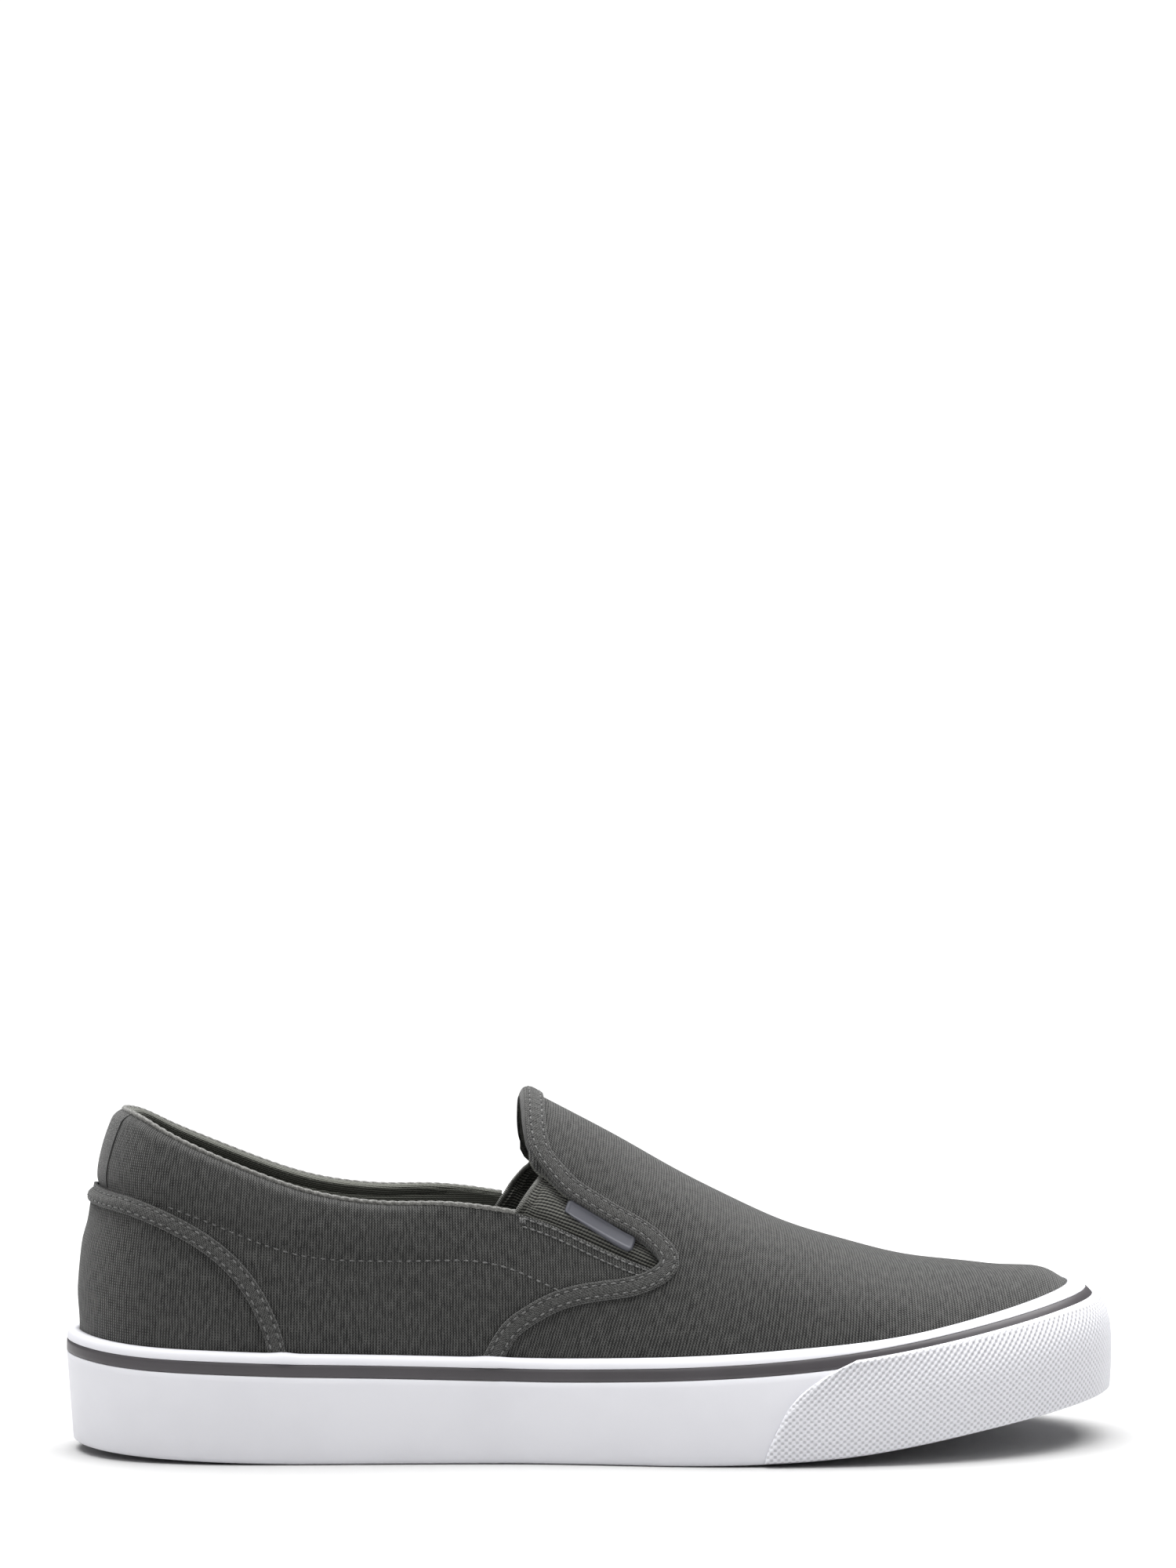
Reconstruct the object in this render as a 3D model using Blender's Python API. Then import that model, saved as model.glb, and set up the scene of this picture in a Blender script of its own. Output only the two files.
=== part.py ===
"""Slip-on canvas sneaker for the right foot, as separate solids at real size.

Metres, +Z up. The toe points to +X and the little-toe side faces -Y. The origin is on the floor,
under the middle of the sole. The upper is one hollow shell worked out from a table of sections
of the last. Every other piece is an offset of that same surface.
"""

import math

import bmesh
import bpy
import numpy as np

# Driving sizes of the sole, in metres
SOLE_LENGTH = 0.2955
BALL_WIDTH = 0.1060
HEEL_WIDTH = 0.0740
SOLE_HEIGHT = 0.0290
TOE_SPRING = 0.0132
HEEL_BEVEL = 0.0026
FOXING_WALL = 0.0029
FOXING_GAP = 0.0005
FOXING_EDGE_ROUND = 0.0014
FOXING_TOP_ROLL = 0.0016
HEEL_TAPER = 0.0018
STRIPE_WIDTH = 0.0034
STRIPE_WALL = 0.0006
STRIPE_BELOW_TOP = 0.0037
BUMPER_WALL = 0.0012
BUMPER_SWELL = 0.0010
BUMPER_TUCK = 0.0017
BUMPER_LIFT = 0.0008
FOOTBED_HEEL = 0.0170
FOOTBED_BALL = 0.0125
INSOLE_WALL = 0.0035
INSOLE_EDGE_ROUND = 0.0012

# Driving sizes of the upper, as heights over the floor
HEEL_HEIGHT = 0.0953
SIDE_HEIGHT = 0.0685
INSTEP_HEIGHT = 0.0980
TOE_BOX_HEIGHT = 0.0471
COUNTER_HEIGHT = 0.0700
CANVAS_WALL = 0.0018
PAD_WALL = 0.0062
PAD_SWELL = 0.0011
PAD_RIM_ROUND = 0.0016
COUNTER_STEP = 0.0024
VAMP_STRIP_WIDTH = 0.0054
COUNTER_STRIP_WIDTH = 0.0048
STRIP_WALL = 0.0009
HEEL_TAB_WIDTH = 0.0220
HEEL_TAB_WALL = 0.0014
GORE_WALL = 0.0011
GORE_SINK = 0.0013
GORE_SEAM = 0.0045
NOTCH_TIP_TRIM = 0.0015
SIDE_TAB_HEIGHT = 0.0042
SIDE_TAB_WALL = 0.0006
GAP = 0.0003

# Extra length for each radian that the outline turns, which brings columns closer on its curves
CURVE_LENGTH = 0.0120

# Column and row counts of the surface grids
HEEL_COLUMNS = 18
GORE_COLUMNS = 6
TOE_COLUMNS = 17
SOLE_ROWS = 3
WALL_ROWS = 4
PAD_ROWS = 4
NOTCH_ROWS = 2
VAMP_ROWS = 6

# Colours of the materials
CANVAS = (0.085, 0.085, 0.083)
STRIP_CANVAS = (0.10, 0.10, 0.098)
ELASTIC = (0.13, 0.13, 0.115)
LINING = (0.10, 0.10, 0.10)
TAB = (0.15, 0.15, 0.19)
WHITE_RUBBER = (0.85, 0.85, 0.87)
DARK_RUBBER = (0.12, 0.12, 0.13)

LATERAL, MEDIAL = -1, 1

LAST_HEEL = -SOLE_LENGTH / 2 + FOXING_WALL + FOXING_GAP
LAST_TOE = SOLE_LENGTH / 2 - FOXING_WALL - FOXING_GAP - BUMPER_WALL - BUMPER_SWELL - GAP
LAST_LENGTH = LAST_TOE - LAST_HEEL
FOOT_HALF = BALL_WIDTH / 2 - FOXING_WALL - FOXING_GAP
HEEL_HALF = HEEL_WIDTH / 2 - FOXING_WALL - FOXING_GAP

# One row for each section of the last, heel to toe. along and top_along are shares of the last's
# length at the feather edge and on the ridge. The half widths are shares of the heel's or ball's
# half width, mixed by ball_share. square is the superellipse exponent of the section.
SECTION_COLUMNS = (
    "along_lateral",
    "along_medial",
    "lateral",
    "medial",
    "ball_share",
    "top_along",
    "square",
)
SECTIONS = (
    (0.000, 0.000, 0.00, 0.00, 0.0, 0.125, 2.3),
    (0.030, 0.030, 0.62, 0.58, 0.0, 0.134, 2.3),
    (0.100, 0.098, 0.93, 0.88, 0.0, 0.168, 2.25),
    (0.200, 0.200, 1.02, 0.95, 0.0, 0.235, 2.2),
    (0.330, 0.330, 0.94, 0.79, 0.3, 0.335, 2.1),
    (0.450, 0.450, 0.91, 0.78, 0.6, 0.447, 1.95),
    (0.580, 0.580, 0.95, 0.895, 1.0, 0.572, 2.0),
    (0.700, 0.700, 1.00, 1.000, 1.0, 0.680, 2.15),
    (0.810, 0.815, 0.93, 0.965, 1.0, 0.772, 2.3),
    (0.905, 0.912, 0.715, 0.82, 1.0, 0.845, 2.55),
    (0.968, 0.974, 0.405, 0.59, 1.0, 0.895, 3.0),
    (1.000, 1.000, -0.10, 0.10, 1.0, 0.918, 3.4),
)

# The ridge of the last: share of its length, and height as a share from toe box to instep
RIDGE = (
    (0.125, 1.44),
    (0.335, 1.27),
    (0.443, 1.00),
    (0.524, 0.760),
    (0.600, 0.518),
    (0.680, 0.299),
    (0.757, 0.150),
    (0.835, 0.055),
    (0.918, 0.000),
)
RIDGE_LEAN = 0.0030

# The sole's side: share of the last's length, bottom as a share of the toe spring in front and of
# the heel bevel behind, and side height as a share of the sole height
SOLE_LINE = (
    (-0.01, 1.00, 1.075),
    (0.045, 0.62, 1.045),
    (0.120, 0.25, 1.040),
    (0.210, 0.00, 1.030),
    (0.330, 0.00, 1.005),
    (0.450, 0.00, 0.980),
    (0.555, 0.00, 1.002),
    (0.645, 0.04, 1.030),
    (0.733, 0.17, 1.050),
    (0.838, 0.51, 1.050),
    (0.925, 0.80, 1.065),
    (0.987, 0.955, 1.090),
    (1.025, 1.00, 1.105),
)

# The rear edge of the toe bumper: share of its height, and share of the last's length
BUMPER_EDGE = (
    (0.00, 0.649),
    (0.06, 0.650),
    (0.38, 0.661),
    (0.64, 0.673),
    (0.85, 0.693),
    (1.00, 0.718),
    (1.10, 0.737),
)

# The collar: share of the last's length, and height as a share from side to heel height
COLLAR = (
    (-0.010, 1.000),
    (0.020, 1.000),
    (0.047, 0.946),
    (0.081, 0.775),
    (0.118, 0.590),
    (0.156, 0.418),
    (0.193, 0.268),
    (0.230, 0.150),
    (0.268, 0.078),
    (0.305, 0.050),
    (0.341, 0.045),
    (0.376, 0.014),
    (0.418, -0.055),
)

# Lower edge of the gore's notch, seen from the side: share of the last's length, and height as a
# share of the side height
NOTCH_UNDER = (
    (0.418, 0.980),
    (0.451, 0.933),
    (0.488, 0.863),
    (0.525, 0.796),
    (0.558, 0.744),
)
NOTCH_TIP = 0.558
THROAT_ALONG = 0.434

# The tables below place lines on the side by level: 0 at the foxing's top, 1 at the collar or the
# notch's lower edge, and 2 higher again by what the instep rises over the side. A row is the share
# of the last's length and the level.
NOTCH_OVER = (
    (0.4300, 1.740),
    (0.4353, 1.554),
    (0.4475, 1.439),
    (0.4628, 1.350),
    (0.4813, 1.314),
    (0.5085, 1.289),
    (0.5326, 1.264),
    (0.5508, 1.190),
    (0.5580, 1.070),
)

# Seam under the collar's padding
PAD_SEAM = (
    (-0.010, 0.647),
    (0.051, 0.660),
    (0.129, 0.652),
    (0.174, 0.619),
    (0.226, 0.601),
    (0.278, 0.617),
    (0.345, 0.630),
    (0.397, 0.630),
    (0.442, 0.551),
    (0.480, 0.480),
    (0.558, 0.420),
)

# The gore's free edge, from the quarter up to the vamp
GORE_EDGE = (
    (0.406, 0.850),
    (0.418, 1.009),
    (0.428, 1.180),
    (0.443, 1.416),
    (0.456, 1.633),
)

# The side tab on the gore: its rear and front ends as shares of the last's length
SIDE_TAB_ENDS = (0.468, 0.532)

# Centre line of the strip that binds the vamp, from the sole up round the notch to the throat
VAMP_STRIP = (
    (0.4010, 0.065),
    (0.4136, 0.199),
    (0.4304, 0.299),
    (0.4475, 0.390),
    (0.4663, 0.478),
    (0.5033, 0.627),
    (0.5466, 0.875),
    (0.5647, 1.100),
    (0.5553, 1.249),
    (0.5358, 1.330),
    (0.5117, 1.363),
    (0.4852, 1.400),
    (0.4681, 1.440),
    (0.4559, 1.529),
    (0.4461, 1.627),
    (0.4425, 1.770),
    (0.4420, 1.880),
)

# Centre line of the strip over the heel counter, from the heel down to the sole: share of the
# last's length, and share of the counter's height over the foxing
COUNTER_STRIP = (
    (-0.010, 0.922),
    (0.0106, 0.921),
    (0.0431, 0.915),
    (0.0811, 0.844),
    (0.1181, 0.721),
    (0.1478, 0.563),
    (0.1680, 0.388),
    (0.1809, 0.213),
    (0.1885, 0.060),
)


def spline(knots, values, closed=False):
    """A cubic spline through values at knots, as a function. A closed one repeats after its end."""
    knots = np.asarray(knots, float)
    values = np.asarray(values, float)
    count = len(knots)
    step = np.diff(knots)
    system = np.zeros((count, count))
    right = np.zeros((count,) + values.shape[1:])
    slope = (values[1:] - values[:-1]) / step.reshape((-1,) + (1,) * (values.ndim - 1))
    for k in range(1, count - 1):
        system[k, k - 1 : k + 2] = step[k - 1], 2 * (step[k - 1] + step[k]), step[k]
        right[k] = 6 * (slope[k] - slope[k - 1])
    if closed:
        system[0, 0], system[0, -1] = 1, -1
        system[-1, 0], system[-1, 1] = 2 * step[0], step[0]
        system[-1, -1], system[-1, -2] = 2 * step[-1], step[-1]
        right[-1] = 6 * (slope[0] - slope[-1])
    else:
        system[0, 0] = system[-1, -1] = 1
    bend = np.linalg.solve(system, right)

    def at(x):
        x = np.asarray(x, float)
        if closed:
            x = knots[0] + np.mod(x - knots[0], knots[-1] - knots[0])
        else:
            x = np.clip(x, knots[0], knots[-1])
        k = np.clip(np.searchsorted(knots, x, side="right") - 1, 0, count - 2)
        h = step[k]
        a = (knots[k + 1] - x) / h
        b = 1 - a
        if values.ndim > 1:
            a, b, h = a[..., None], b[..., None], h[..., None]
        curve = ((a**3 - a) * bend[k] + (b**3 - b) * bend[k + 1]) * h * h / 6
        return a * values[k] + b * values[k + 1] + curve

    return at


def table_line(table, column=1):
    rows = np.array(table)
    return spline(rows[:, 0], rows[:, column])


def smooth_step(x):
    x = np.clip(x, 0, 1)
    return x * x * (3 - 2 * x)


def unit(vectors):
    return vectors / np.maximum(np.linalg.norm(vectors, axis=-1, keepdims=True), 1e-12)


def along_of(x):
    return (np.asarray(x, float) - LAST_HEEL) / LAST_LENGTH


def x_of(along):
    return LAST_HEEL + LAST_LENGTH * np.asarray(along, float)


ridge_share = table_line(RIDGE)
bottom_share = table_line(SOLE_LINE, 1)
side_share = table_line(SOLE_LINE, 2)
collar_share = table_line(COLLAR)
notch_under_share = table_line(NOTCH_UNDER)
notch_over_level = table_line(NOTCH_OVER)
pad_seam_level = table_line(PAD_SEAM)
counter_share = table_line(COUNTER_STRIP)


def section_loop():
    """The sections as one closed spline round the shoe: 0 is the heel, 1 the toe, 2 the heel again."""
    rows = [dict(zip(SECTION_COLUMNS, row)) for row in SECTIONS]

    def side_rows(side):
        word = "lateral" if side == LATERAL else "medial"
        points = []
        for row in rows:
            half = (1 - row["ball_share"]) * HEEL_HALF + row["ball_share"] * FOOT_HALF
            across = side * half * row[word]
            points.append((x_of(row["along_" + word]), across, row["top_along"], row["square"]))
        return np.array(points)

    lateral, medial = side_rows(LATERAL), side_rows(MEDIAL)
    steps = sum(np.hypot(*np.diff(half[:, :2], axis=0).T) for half in (lateral, medial))
    stations = np.concatenate([[0], np.cumsum(steps)]) / steps.sum()
    knots = np.concatenate([stations, 2 - stations[-2::-1]])
    values = np.concatenate([lateral, medial[-2::-1]])
    return spline(knots, values, closed=True)


sections = section_loop()


def loop_station(side, station):
    """Where a station of one side lies on the closed loop."""
    return np.where(np.asarray(side) == LATERAL, station, 2 - np.asarray(station, float))


def sole_bottom(x):
    """Height of the sole's underside: flat under heel and ball, bevelled behind and sprung in front."""
    along = along_of(x)
    return np.maximum(bottom_share(along), 0) * np.where(along > 0.4, TOE_SPRING, HEEL_BEVEL)


def sole_top(x):
    return sole_bottom(x) + side_share(along_of(x)) * SOLE_HEIGHT


def feather_height(x):
    """Height of the footbed's edge, where the upper starts."""
    ball = smooth_step((along_of(x) - 0.2) / 0.45)
    return sole_bottom(x) + FOOTBED_HEEL + (FOOTBED_BALL - FOOTBED_HEEL) * ball


def ridge_height(top_along):
    return TOE_BOX_HEIGHT + ridge_share(top_along) * (INSTEP_HEIGHT - TOE_BOX_HEIGHT)


def ridge_point(top_along):
    lean = RIDGE_LEAN * smooth_step(top_along / 0.5)
    return np.stack([x_of(top_along), lean, ridge_height(top_along)], -1)


def ridge_slope(top_along):
    """Slope of the ridge over the forefoot. It fades to nothing at the instep."""
    step = 0.01
    front = np.minimum(top_along + step, RIDGE[-1][0])
    rise = ridge_height(front) - ridge_height(top_along - step)
    return rise / (front - top_along + step) / LAST_LENGTH * smooth_step((top_along - 0.55) / 0.25)


def column(side, station):
    """Feather point, ridge point, superellipse exponent and ridge slope of the section at a station."""
    values = sections(loop_station(side, station))
    x, across, top_along, square = np.moveaxis(values, -1, 0)
    foot = np.stack([x, across, feather_height(x)], -1)
    return foot, ridge_point(top_along), square, ridge_slope(top_along)


def wall_height(foot, top, slope, c, s):
    """Height on a section. Its top follows the ridge's slope, so that the toe has no crease."""
    crown = top[..., 2] + slope * (foot - top)[..., 0] * c
    return foot[..., 2] + (crown - foot[..., 2]) * s


def wall_point(side, station, turn):
    """A point of the last: turn is 0 at the feather edge and 1 on the ridge."""
    foot, top, square, slope = column(side, station)
    angle = np.clip(turn, 0, 1) * math.pi / 2
    c, s = np.cos(angle), np.sin(angle)
    radius = (c**square + s**square) ** (1 / square)
    c, s = c / radius, s / radius
    point = top + (foot - top) * c[..., None]
    point[..., 2] = wall_height(foot, top, slope, c, s)
    return point


def cut_at_height(side, station, height):
    """How far along both axes of its section the wall of a station is at a height."""
    foot, top, square, slope = column(side, station)
    c = 0.8
    for _ in range(12):
        crown = top[..., 2] + slope * (foot - top)[..., 0] * c
        s = np.clip((height - foot[..., 2]) / (crown - foot[..., 2]), 0, 0.9999)
        c = (1 - s**square) ** (1 / square)
    return c, s, square


def turn_at_height(side, station, height):
    c, s, square = cut_at_height(side, station, height)
    return np.arctan2(s, c) / (math.pi / 2)


def facing(side):
    """Sign that turns a normal outward: stations run forward on both sides."""
    return np.where(np.asarray(side) == LATERAL, 1, -1)[..., None]


def wall_normal(side, station, turn):
    """Outward normal of the last, from small steps along both directions."""
    step = 1e-4
    low, high = np.clip(turn - step, 0, 1), np.clip(turn + step, 0, 1)
    up = wall_point(side, station, high) - wall_point(side, station, low)
    level = np.minimum(turn, 0.97)
    forward = wall_point(side, station + step, level) - wall_point(side, station - step, level)
    return unit(np.cross(forward, up) * facing(side))


def turn_on_line(side, station, line):
    """Turn at which the wall of a station meets a line given as height over x."""
    x = column(side, station)[0][..., 0]
    for _ in range(12):
        turn = turn_at_height(side, station, line(x))
        x = wall_point(side, station, turn)[..., 0]
    return turn


def place(side, x, height):
    """Station and turn of the point of one side that is seen at x and height from the side."""
    x = np.asarray(x, float)
    grid = np.linspace(0.02, 0.98, 600)
    foot_x = column(side, grid)[0][..., 0]
    station = np.interp(x, foot_x, grid)
    slope = np.gradient(foot_x, grid)
    for _ in range(25):
        turn = turn_at_height(side, station, height)
        miss = x - wall_point(side, station, turn)[..., 0]
        station = np.clip(station + 0.8 * miss / np.interp(station, grid, slope), 0.001, 0.999)
    return station, turn_at_height(side, station, height)


def collar_line(x):
    """Height of the collar, and past its end of the quarter's front edge under the gore."""
    along = along_of(x)
    collar = SIDE_HEIGHT + collar_share(along) * (HEEL_HEIGHT - SIDE_HEIGHT)
    return np.where(along < NOTCH_UNDER[0][0], collar, notch_under_share(along) * SIDE_HEIGHT)


def level_height(x, level):
    """Height of a level beside x: see the tables."""
    low, edge = sole_top(x), collar_line(x)
    over_edge = (INSTEP_HEIGHT - SIDE_HEIGHT) * np.maximum(level - 1, 0)
    return low + (edge - low) * np.minimum(level, 1) + over_edge


def notch_over_line(x):
    return level_height(x, notch_over_level(along_of(x)))


def seam_line(x):
    return level_height(x, pad_seam_level(along_of(x)))


def counter_line(x):
    """Height of the heel counter's top edge."""
    return counter_height(x, counter_share(along_of(x)))


def counter_height(x, share):
    return sole_top(x) + share * (COUNTER_HEIGHT - SOLE_HEIGHT)


def pad_amount(x):
    """How much padding the collar has: full at the heel and sides, none by the gore."""
    return 1 - smooth_step((along_of(x) - 0.27) / 0.13)


def below_collar(point):
    """Depth under the collar's edge as a share of the padding's depth."""
    edge = collar_line(point[..., 0])
    return (edge - point[..., 2]) / (edge - seam_line(point[..., 0]))


def relief(point, stepped=1):
    """Swell of the canvas over the padding, its pinch at the seam, and the step in over the counter."""
    x = point[..., 0]
    share = np.clip(below_collar(point), -0.2, 2)
    heel = 1 - smooth_step(along_of(x) / 0.13)
    swell = PAD_SWELL * (1 - 0.5 * heel) * np.sin(math.pi * np.clip(share, 0, 1)) ** 0.8
    rim = -PAD_RIM_ROUND * np.clip(1 - share / 0.16, 0, 1) ** 2
    pinch = -0.4 * PAD_SWELL * np.exp(-(((share - 1) / 0.12) ** 2))
    step = COUNTER_STEP * heel * smooth_step(2 * (point[..., 2] - counter_line(x)) / COUNTER_STRIP_WIDTH)
    return (swell + rim + pinch) * pad_amount(x) - step * stepped


def skin(side, station, turn, out=0.0, stepped=1):
    """A point of the upper's outer face, moved out along its normal."""
    point = wall_point(side, station, turn)
    normal = wall_normal(side, station, turn)
    return point + normal * (relief(point, stepped) + out)[..., None]


def wall_thickness(point):
    """Wall of the upper: canvas and lining, and foam between them under the collar."""
    share = below_collar(point)
    padding = np.clip(1.25 - share, 0, 1) ** 0.7 * np.clip(0.42 + share / 0.30, 0, 1)
    return CANVAS_WALL + (PAD_WALL - CANVAS_WALL) * padding * pad_amount(point[..., 0])


def station_of_x(x):
    """The station whose ridge point is at x."""
    grid = np.linspace(0, 1, 1500)
    return float(np.interp(along_of(x), sections(grid)[..., 2], grid))


def even_stations(start, end, count):
    """Stations at even distances along the feather edge, closer together where it curves."""
    grid = np.linspace(start, end, 400)
    foot = column(LATERAL, grid)[0][..., :2]
    step = np.diff(foot, axis=0)
    heading = np.unwrap(np.arctan2(step[:, 1], step[:, 0]))
    length = np.hypot(*step.T) + CURVE_LENGTH * np.abs(np.gradient(heading))
    travel = np.concatenate([[0], np.cumsum(length)])
    return np.interp(np.linspace(0, travel[-1], count + 1), travel, grid)


STATION_THROAT = station_of_x(x_of(THROAT_ALONG))
STATION_TIP = station_of_x(x_of(NOTCH_TIP) - NOTCH_TIP_TRIM)
STATIONS = np.concatenate(
    [
        even_stations(0, STATION_THROAT, HEEL_COLUMNS)[:-1],
        even_stations(STATION_THROAT, STATION_TIP, GORE_COLUMNS)[:-1],
        even_stations(STATION_TIP, 1, TOE_COLUMNS),
    ]
)
THROAT_COLUMN = HEEL_COLUMNS
TIP_COLUMN = HEEL_COLUMNS + GORE_COLUMNS


def build_object(name, points, faces, colour, roughness, smooth_angle=35):
    """One named solid from points and faces, facing out, with its own material."""
    mesh = bpy.data.meshes.new(name)
    faces = [tuple(int(i) for i in face) for face in faces]
    mesh.from_pydata([tuple(p) for p in np.asarray(points, float)], [], faces)
    work = bmesh.new()
    work.from_mesh(mesh)
    bmesh.ops.remove_doubles(work, verts=work.verts, dist=1e-6)
    bmesh.ops.recalc_face_normals(work, faces=work.faces)
    work.to_mesh(mesh)
    work.free()
    mesh.shade_smooth()
    mesh.set_sharp_from_angle(angle=math.radians(smooth_angle))
    material = bpy.data.materials.new(name)
    material.use_nodes = True
    shader = material.node_tree.nodes["Principled BSDF"]
    shader.inputs["Base Color"].default_value = (*colour, 1)
    shader.inputs["Roughness"].default_value = roughness
    mesh.materials.append(material)
    made = bpy.data.objects.new(name, mesh)
    bpy.context.scene.collection.objects.link(made)
    return made


def thicken(outer, inner, faces):
    """Closes two matching sheets into one shell: outer faces, inner faces turned round, and the rims."""
    count = len(outer)
    edges = {}
    for face in faces:
        for a, b in zip(face, face[1:] + face[:1]):
            edges[(a, b)] = edges.get((a, b), 0) + 1
    rim = [(a, b) for a, b in edges if (b, a) not in edges]
    solid = list(faces)
    solid += [tuple(i + count for i in reversed(face)) for face in faces]
    solid += [(b, a, a + count, b + count) for a, b in rim]
    return np.concatenate([outer, inner]), solid


def grid_faces(rows, columns, wrap=False):
    """Quads of a grid whose points are stored row by row. With wrap, the last column meets the first."""
    faces = []
    for r in range(rows - 1):
        low, high = r * columns, (r + 1) * columns
        for c in range(columns if wrap else columns - 1):
            d = (c + 1) % columns
            faces.append((low + c, low + d, high + d, high + c))
    return faces


def upper_turns(side):
    """Turns of the upper's rows for each column: inside the foxing, wall, notch and vamp rows in turn."""
    stations = STATIONS
    foot_x = column(side, stations)[0][..., 0]
    low = turn_at_height(side, stations, sole_top(foot_x))
    seam = turn_on_line(side, stations, seam_line)
    under = turn_on_line(side, stations, collar_line)
    over = turn_on_line(side, stations, notch_over_line)
    ahead = stations > stations[TIP_COLUMN]
    blend = smooth_step((stations - stations[TIP_COLUMN]) / (1 - stations[TIP_COLUMN]))

    def toward_toe(turns, share):
        tip = (turns[TIP_COLUMN] - low[TIP_COLUMN]) / (1 - low[TIP_COLUMN])
        return np.where(ahead, low + (1 - low) * (tip + (share - tip) * blend), turns)

    seam, under, over = toward_toe(seam, 0.20), toward_toe(under, 0.40), toward_toe(over, 0.54)
    bands = (
        (0 * low, low, SOLE_ROWS),
        (low, seam, WALL_ROWS),
        (seam, under, PAD_ROWS),
        (under, over, NOTCH_ROWS),
        (over, 0 * low + 1, VAMP_ROWS),
    )
    rows = [0 * low]
    for start, end, count in bands:
        rows += [start + (end - start) * k / count for k in range(1, count + 1)]
    return np.array(rows)


def upper_cells():
    """Cells of the upper's grid that hold canvas, as (row, column)."""
    collar = SOLE_ROWS + WALL_ROWS + PAD_ROWS
    cells = []
    for c in range(len(STATIONS) - 1):
        for r in range(collar + NOTCH_ROWS + VAMP_ROWS):
            in_notch = collar <= r < collar + NOTCH_ROWS and c < TIP_COLUMN
            behind_throat = r >= collar and c < THROAT_COLUMN
            if not in_notch and not behind_throat:
                cells.append((r, c))
    return cells


def make_upper():
    """Hollow shell of the upper, open at the collar, at both gore notches and underneath."""
    columns = len(STATIONS)
    top_row = SOLE_ROWS + WALL_ROWS + PAD_ROWS + NOTCH_ROWS + VAMP_ROWS
    sheets, faces = [], []
    for side in (LATERAL, MEDIAL):
        turns = upper_turns(side)
        stations = np.broadcast_to(STATIONS, turns.shape)
        point = wall_point(side, stations, turns)
        normal = wall_normal(side, stations, turns)
        outer = point + normal * relief(point)[..., None]
        inner = outer - normal * wall_thickness(point)[..., None]
        sheets.append(np.concatenate([outer.reshape(-1, 3), inner.reshape(-1, 3)], -1))
    size = len(sheets[0])

    def corner(side, r, c):
        shared = side == LATERAL or c in (0, columns - 1) or r == top_row
        return r * columns + c + (0 if shared else size)

    for side in (LATERAL, MEDIAL):
        for r, c in upper_cells():
            quad = [corner(side, r + dr, c + dc) for dr, dc in ((0, 0), (0, 1), (1, 1), (1, 0))]
            faces.append(tuple(quad if side == LATERAL else quad[::-1]))
    points = np.concatenate(sheets)
    for r in range(top_row + 1):
        for c in range(columns):
            if c in (0, columns - 1) or r == top_row:
                k = r * columns + c
                points[k] = (sheets[0][k] + sheets[1][k]) / 2
    used = sorted({i for face in faces for i in face})
    order = {old: new for new, old in enumerate(used)}
    faces = [tuple(order[i] for i in face) for face in faces]
    points, solid = thicken(points[used, :3], points[used, 3:], faces)
    return build_object("upper", points, solid, CANVAS, 0.9)


def rim_ring(stations=STATIONS):
    """Sides and stations once round the shoe, from the heel over the lateral side and back."""
    both = [(LATERAL, s) for s in stations] + [(MEDIAL, s) for s in stations[-2:0:-1]]
    return np.array([b[0] for b in both]), np.array([b[1] for b in both])


def outline_normal(side, station):
    """Level outward normal of the feather edge."""
    step = 1e-4
    ahead = column(side, station + step)[0][..., :2] - column(side, station - step)[0][..., :2]
    across = np.stack([ahead[..., 1], -ahead[..., 0]], -1)
    return unit(across * facing(side))


def side_point(side, station, height, out):
    """A point beside the last at a height, moved out level. Below the feather edge the wall is upright."""
    foot, top = column(side, station)[:2]
    c = cut_at_height(side, station, height)[0]
    flat = top[..., :2] + (foot - top)[..., :2] * c[..., None]
    flat = flat + outline_normal(side, station) * np.asarray(out)[..., None]
    return np.concatenate([flat, np.broadcast_to(height, flat.shape[:-1])[..., None]], -1)


def ring_solid(name, profiles, colour, roughness, side, station):
    """A solid swept round the sole. profiles is a list of (height, out) arrays, a closed section."""
    rows = [side_point(side, station, height, out) for height, out in profiles]
    rows.append(rows[0])
    points = np.array(rows)
    faces = grid_faces(len(rows), points.shape[1], wrap=True)
    return build_object(name, points.reshape(-1, 3), faces, colour, roughness)


def sole_heights(side, station):
    """Bottom, top, stripe and feather heights beside each station."""
    x = column(side, station)[0][..., 0]
    bottom, top = sole_bottom(x), sole_top(x)
    stripe_top = top - STRIPE_BELOW_TOP
    return bottom, top, stripe_top - STRIPE_WIDTH, stripe_top, feather_height(x)


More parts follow.
